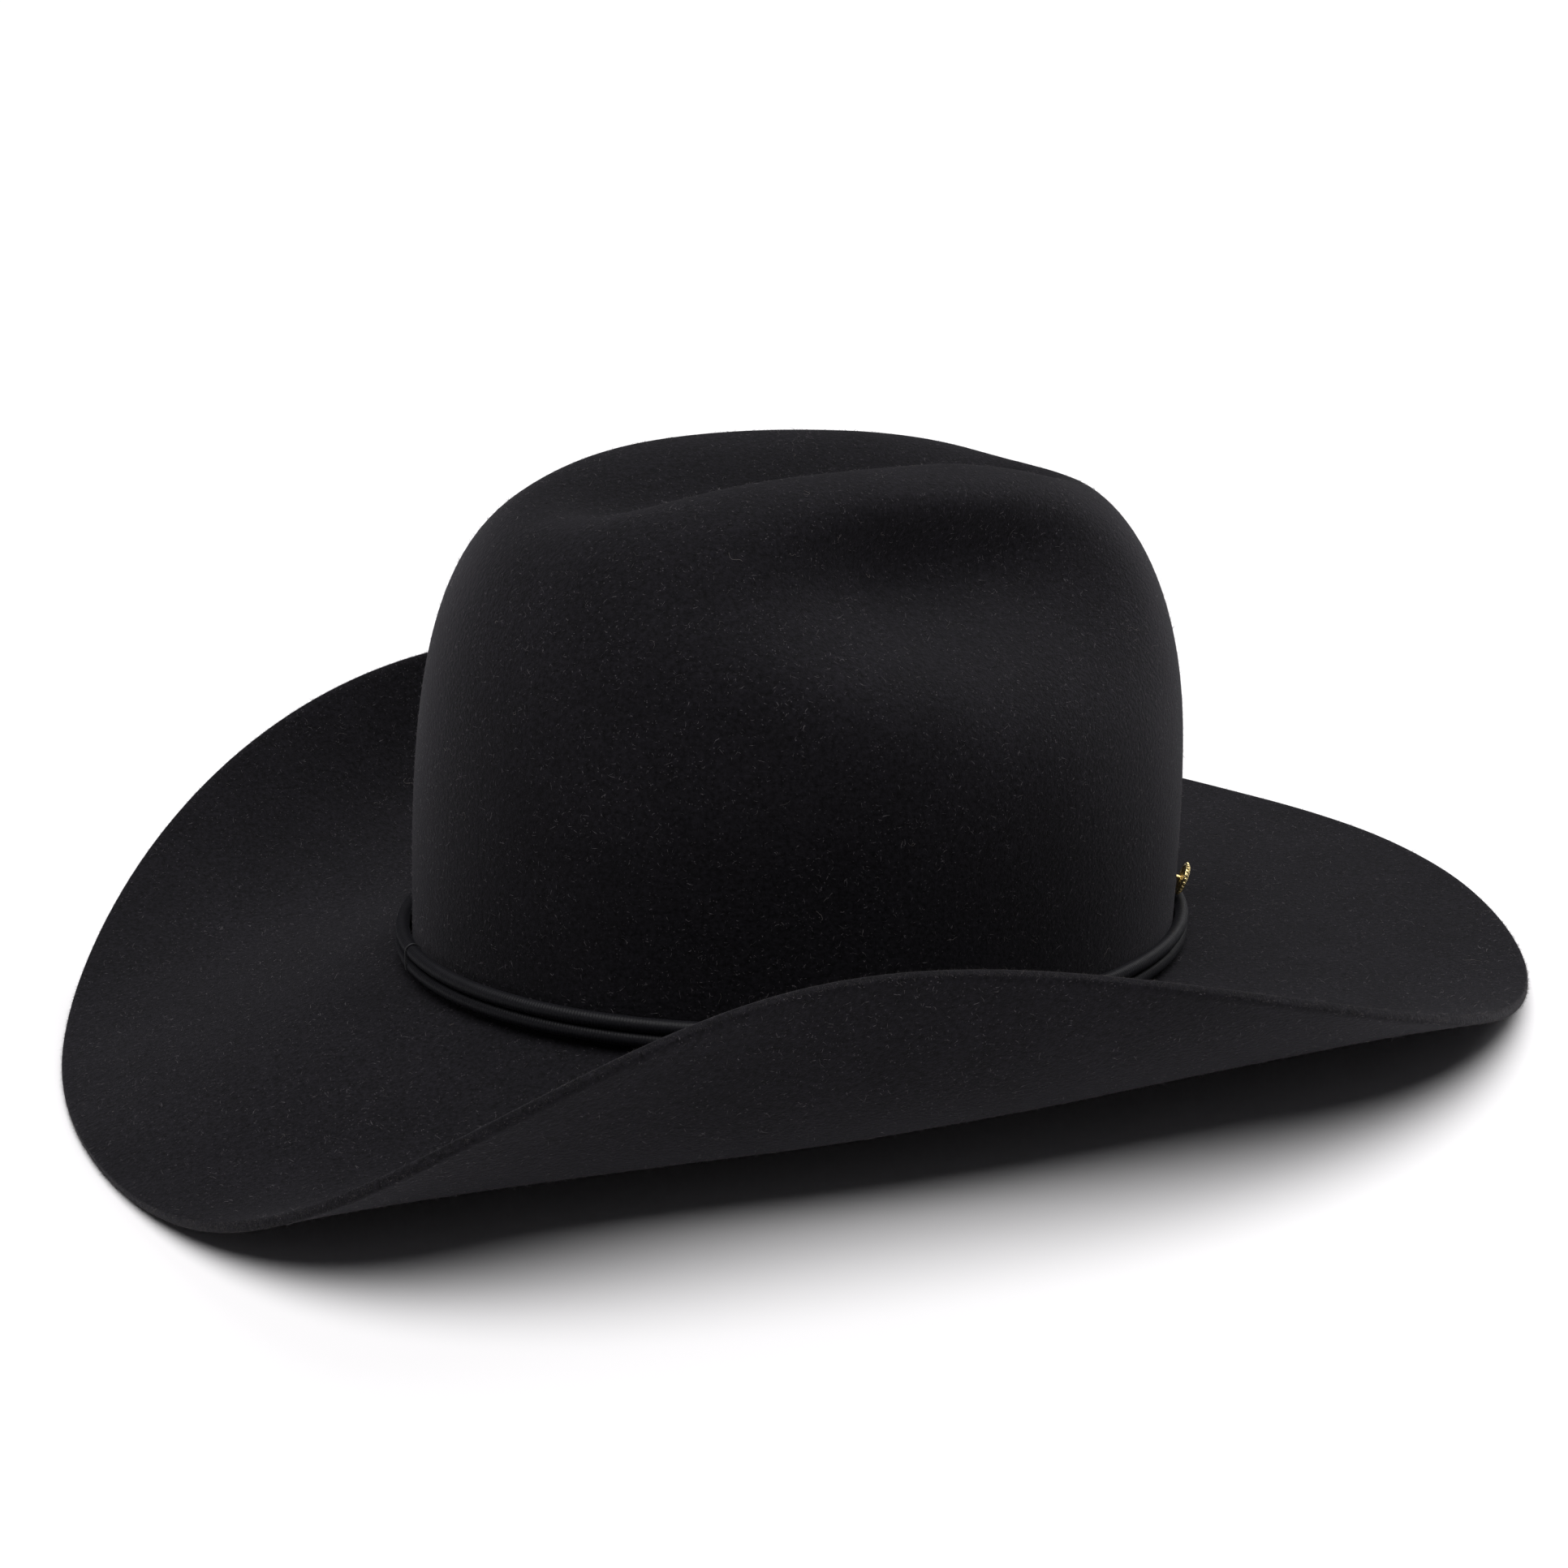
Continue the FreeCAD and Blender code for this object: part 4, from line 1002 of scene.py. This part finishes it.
def liner_piping():
    """Two-strand twisted piping round the tip."""
    a = HALF_LENGTH - LINER_TOP_INSETS[0] - SATIN - PIPING_RADIUS - 0.1
    b = HALF_WIDTH - LINER_TOP_INSETS[1] - SATIN - PIPING_RADIUS - 0.1
    count, sides = 1500, 14
    turn = TURN * np.arange(count) / count
    path = np.stack([a * np.cos(turn), b * np.sin(turn),
                     np.full(count, LINER_TOP - PIPING_RADIUS)], -1)
    outward = oval_normals(turn, a, b)
    up = np.broadcast_to(UP, path.shape)
    angle = TURN * np.arange(sides) / sides
    strand = np.abs(np.cos(angle[None, :] + 130 * turn[:, None]))
    radius = PIPING_RADIUS * (0.78 + 0.22 * strand)
    points = tube_points(path, outward, up, radius, sides)
    make_piece("liner_twisted_piping", to_ground(points), grid_faces(count, sides, True, True),
               "hat", RIBBON_LOOK, ["liner_piping"])


liner_side()
liner_tip()
liner_piping()


# ---------------------------------------------------------------- star ornament

def ornament_place():
    """Matrix from the plate's own frame, X right, Y up, Z outward, millimetres, to metres."""
    joint = frame["joints"][0]
    outward = Vector(joint["axis"]).normalized()
    hat_up = Vector((math.sin(SEAT_PITCH), 0.0, math.cos(SEAT_PITCH)))
    up = (hat_up - outward * hat_up.dot(outward)).normalized()
    right = up.cross(outward)
    turn = Matrix((right, up, outward)).transposed()
    return np.array(turn), np.array(joint["pos_m"])


def star_ornament():
    """Round cast plate with a beaded rim and a faceted five-pointed star."""
    turn, place = ornament_place()
    sides = 120
    parts = []
    profile = [(0.0, 0.0), (1.6, 0.0), (2.9, 0.08), (3.9, 0.14), (4.2, 0.25), (4.3, 0.55),
               (4.3, 1.05), (4.22, 1.3), (4.05, 1.44), (3.8, 1.46), (3.62, 1.36), (3.5, 1.24),
               (2.6, 1.30), (1.4, 1.42), (0.0, 1.5)]
    angle = TURN * np.arange(sides) / sides
    rings = []
    for radius, height in profile[1:-1]:
        grain = 0.035 * rng.normal(size=sides) if 3.4 > radius > 1.0 else 0.0
        rings.append(np.stack([radius * np.cos(angle), radius * np.sin(angle),
                               height + 0 * angle + grain], -1))
    points = np.concatenate([np.array(rings).reshape(-1, 3), [[0, 0, 0.0]], [[0, 0, 1.5]]])
    faces = grid_faces(len(rings), sides, wrap_columns=True)
    centre = len(rings) * sides
    last = (len(rings) - 1) * sides
    faces += fan(centre, list(range(sides))[::-1])
    faces += fan(centre + 1, list(range(last, last + sides)))
    parts.append((points, faces))
    for bead in range(STAR_BEADS):
        bearing = TURN * bead / STAR_BEADS
        middle = np.array([STAR_PLATE_RADIUS * math.cos(bearing),
                           STAR_PLATE_RADIUS * math.sin(bearing), 0.75])
        path_angle = np.linspace(0.15, math.pi - 0.15, 8)
        path = middle + UP * (-BEAD_RADIUS * np.cos(path_angle))[:, None]
        parts.append(closed_tube(path, (BEAD_RADIUS * np.sin(path_angle))[:, None], 10))
    parts.append(star_relief())
    grid, faces = joined(parts)
    grid[:, 2] += STAR_STANDOFF
    ground = (grid * MM) @ turn.T + place
    make_piece("star_concho", ground, faces, "ornament", GOLD_LOOK,
               ["star_ornament"], smooth=False)


def star_relief():
    """Faceted star that rises from the plate to a ridge along each arm."""
    outline, ridge = [], [0.0, 0.0, 2.1]
    for index in range(10):
        radius = STAR_RADIUS if index % 2 == 0 else STAR_WAIST
        bearing = math.pi / 2 + math.pi * index / 5
        outline.append([radius * math.cos(bearing), radius * math.sin(bearing)])
    points = [[x, y, 1.2] for x, y in outline]
    points += [[x * 0.97, y * 0.97, 1.62] for x, y in outline]
    points.append(ridge)
    faces = []
    for index in range(10):
        following = (index + 1) % 10
        faces.append([index, following, 10 + following, 10 + index])
        faces.append([10 + index, 10 + following, 20])
    faces.append(list(range(9, -1, -1)))
    return np.array(points), faces


star_ornament()


# ---------------------------------------------------------------- carried-over nodes

CARRIED_LOOKS = {
    "lower_band_filler": COTTON_LOOK, "upper_band_filler": COTTON_LOOK,
    "sweatband_seam_tape": TAPE_LOOK, "reed_tape": REED_TAPE_LOOK, "sweatband_reed": REED_LOOK,
    "size_label": LABEL_LOOK, "liner_label": LABEL_LOOK, "liner_shield": VINYL_LOOK,
    "ornament_post": GOLD_LOOK, "ornament_clutch": GOLD_LOOK,
}
for node_name, look in CARRIED_LOOKS.items():
    data = frame["nodes"][node_name].data
    data.materials.clear()
    data.materials.append(look)


# ---------------------------------------------------------------- studio

def white_floor():
    """A plain pale paper floor that runs out to the horizon."""
    half = 40.0
    mesh = bpy.data.meshes.new("paper_floor")
    mesh.from_pydata([(-half, -half, 0), (half, -half, 0), (half, half, 0), (-half, half, 0)], [],
                     [(0, 1, 2, 3)])
    material, tree, shader = new_material("white_paper", (0.92, 0.915, 0.92), Roughness=0.9,
                                          Specular_IOR_Level=0.1)
    tone = noise(tree, object_coordinates(tree), 0.8, 2.0)
    tree.links.new(mix_colours(tree, tone, (0.93, 0.915, 0.925), (0.915, 0.905, 0.915)),
                   shader.inputs["Base Color"])
    mesh.materials.append(material)
    floor = bpy.data.objects.new("paper_floor", mesh)
    bpy.context.scene.collection.objects.link(floor)


def studio_air():
    """White surroundings to look at, which add only a little light of their own."""
    world = bpy.data.worlds.new("studio_air")
    world.use_nodes = True
    tree = world.node_tree
    seen = tree.nodes["Background"]
    seen.inputs["Color"].default_value = (0.94, 0.92, 0.94, 1.0)
    fill = tree.nodes.new("ShaderNodeBackground")
    fill.inputs["Color"].default_value = (0.97, 0.95, 1.0, 1.0)
    fill.inputs["Strength"].default_value = AIR_LIGHT
    path = tree.nodes.new("ShaderNodeLightPath")
    mix = tree.nodes.new("ShaderNodeMixShader")
    tree.links.new(path.outputs["Is Camera Ray"], mix.inputs["Fac"])
    tree.links.new(fill.outputs["Background"], mix.inputs[1])
    tree.links.new(seen.outputs["Background"], mix.inputs[2])
    tree.links.new(mix.outputs["Shader"], tree.nodes["World Output"].inputs["Surface"])
    bpy.context.scene.world = world


def direction(bearing, rise):
    return Vector((math.sin(bearing) * math.cos(rise), -math.cos(bearing) * math.cos(rise),
                   math.sin(rise)))


def sky_light(name, bearing, rise, spread, strength):
    """Even light from one patch of sky."""
    light = bpy.data.lights.new(name, "SUN")
    light.energy = strength
    light.angle = math.radians(spread)
    lamp = bpy.data.objects.new(name, light)
    bpy.context.scene.collection.objects.link(lamp)
    towards = direction(math.radians(bearing), math.radians(rise))
    lamp.rotation_mode = "QUATERNION"
    lamp.rotation_quaternion = towards.to_track_quat("Z", "Y")


def studio():
    white_floor()
    studio_air()
    sky_light("overhead_softbox", *SOFTBOX)
    sky_light("front_window", *FRONT_LIGHT)


def camera():
    """The viewpoint: right side of the hat, a little above, with the frame turned slightly."""
    cam = bpy.data.cameras.new("camera")
    cam.lens, cam.sensor_width, cam.sensor_fit = 63.80, 36.0, "HORIZONTAL"
    cam.clip_start, cam.clip_end = 0.01, 50.0
    eye = bpy.data.objects.new("camera", cam)
    bpy.context.scene.collection.objects.link(eye)
    bearing, rise, roll, distance = CAMERA_VIEW
    bearing, rise, roll = math.radians(bearing), math.radians(rise), math.radians(roll)
    back = direction(bearing, rise)
    level = Vector((math.cos(bearing), math.sin(bearing), 0.0))
    lift = back.cross(level)
    right = level * math.cos(roll) + lift * math.sin(roll)
    up = back.cross(right)
    eye.matrix_world = Matrix.Translation(Vector(CAMERA_TARGET) + back * distance) @ Matrix(
        (right, up, back)).transposed().to_4x4()
    bpy.context.scene.camera = eye


studio()
camera()
bpy.context.scene.view_settings.view_transform = "Standard"
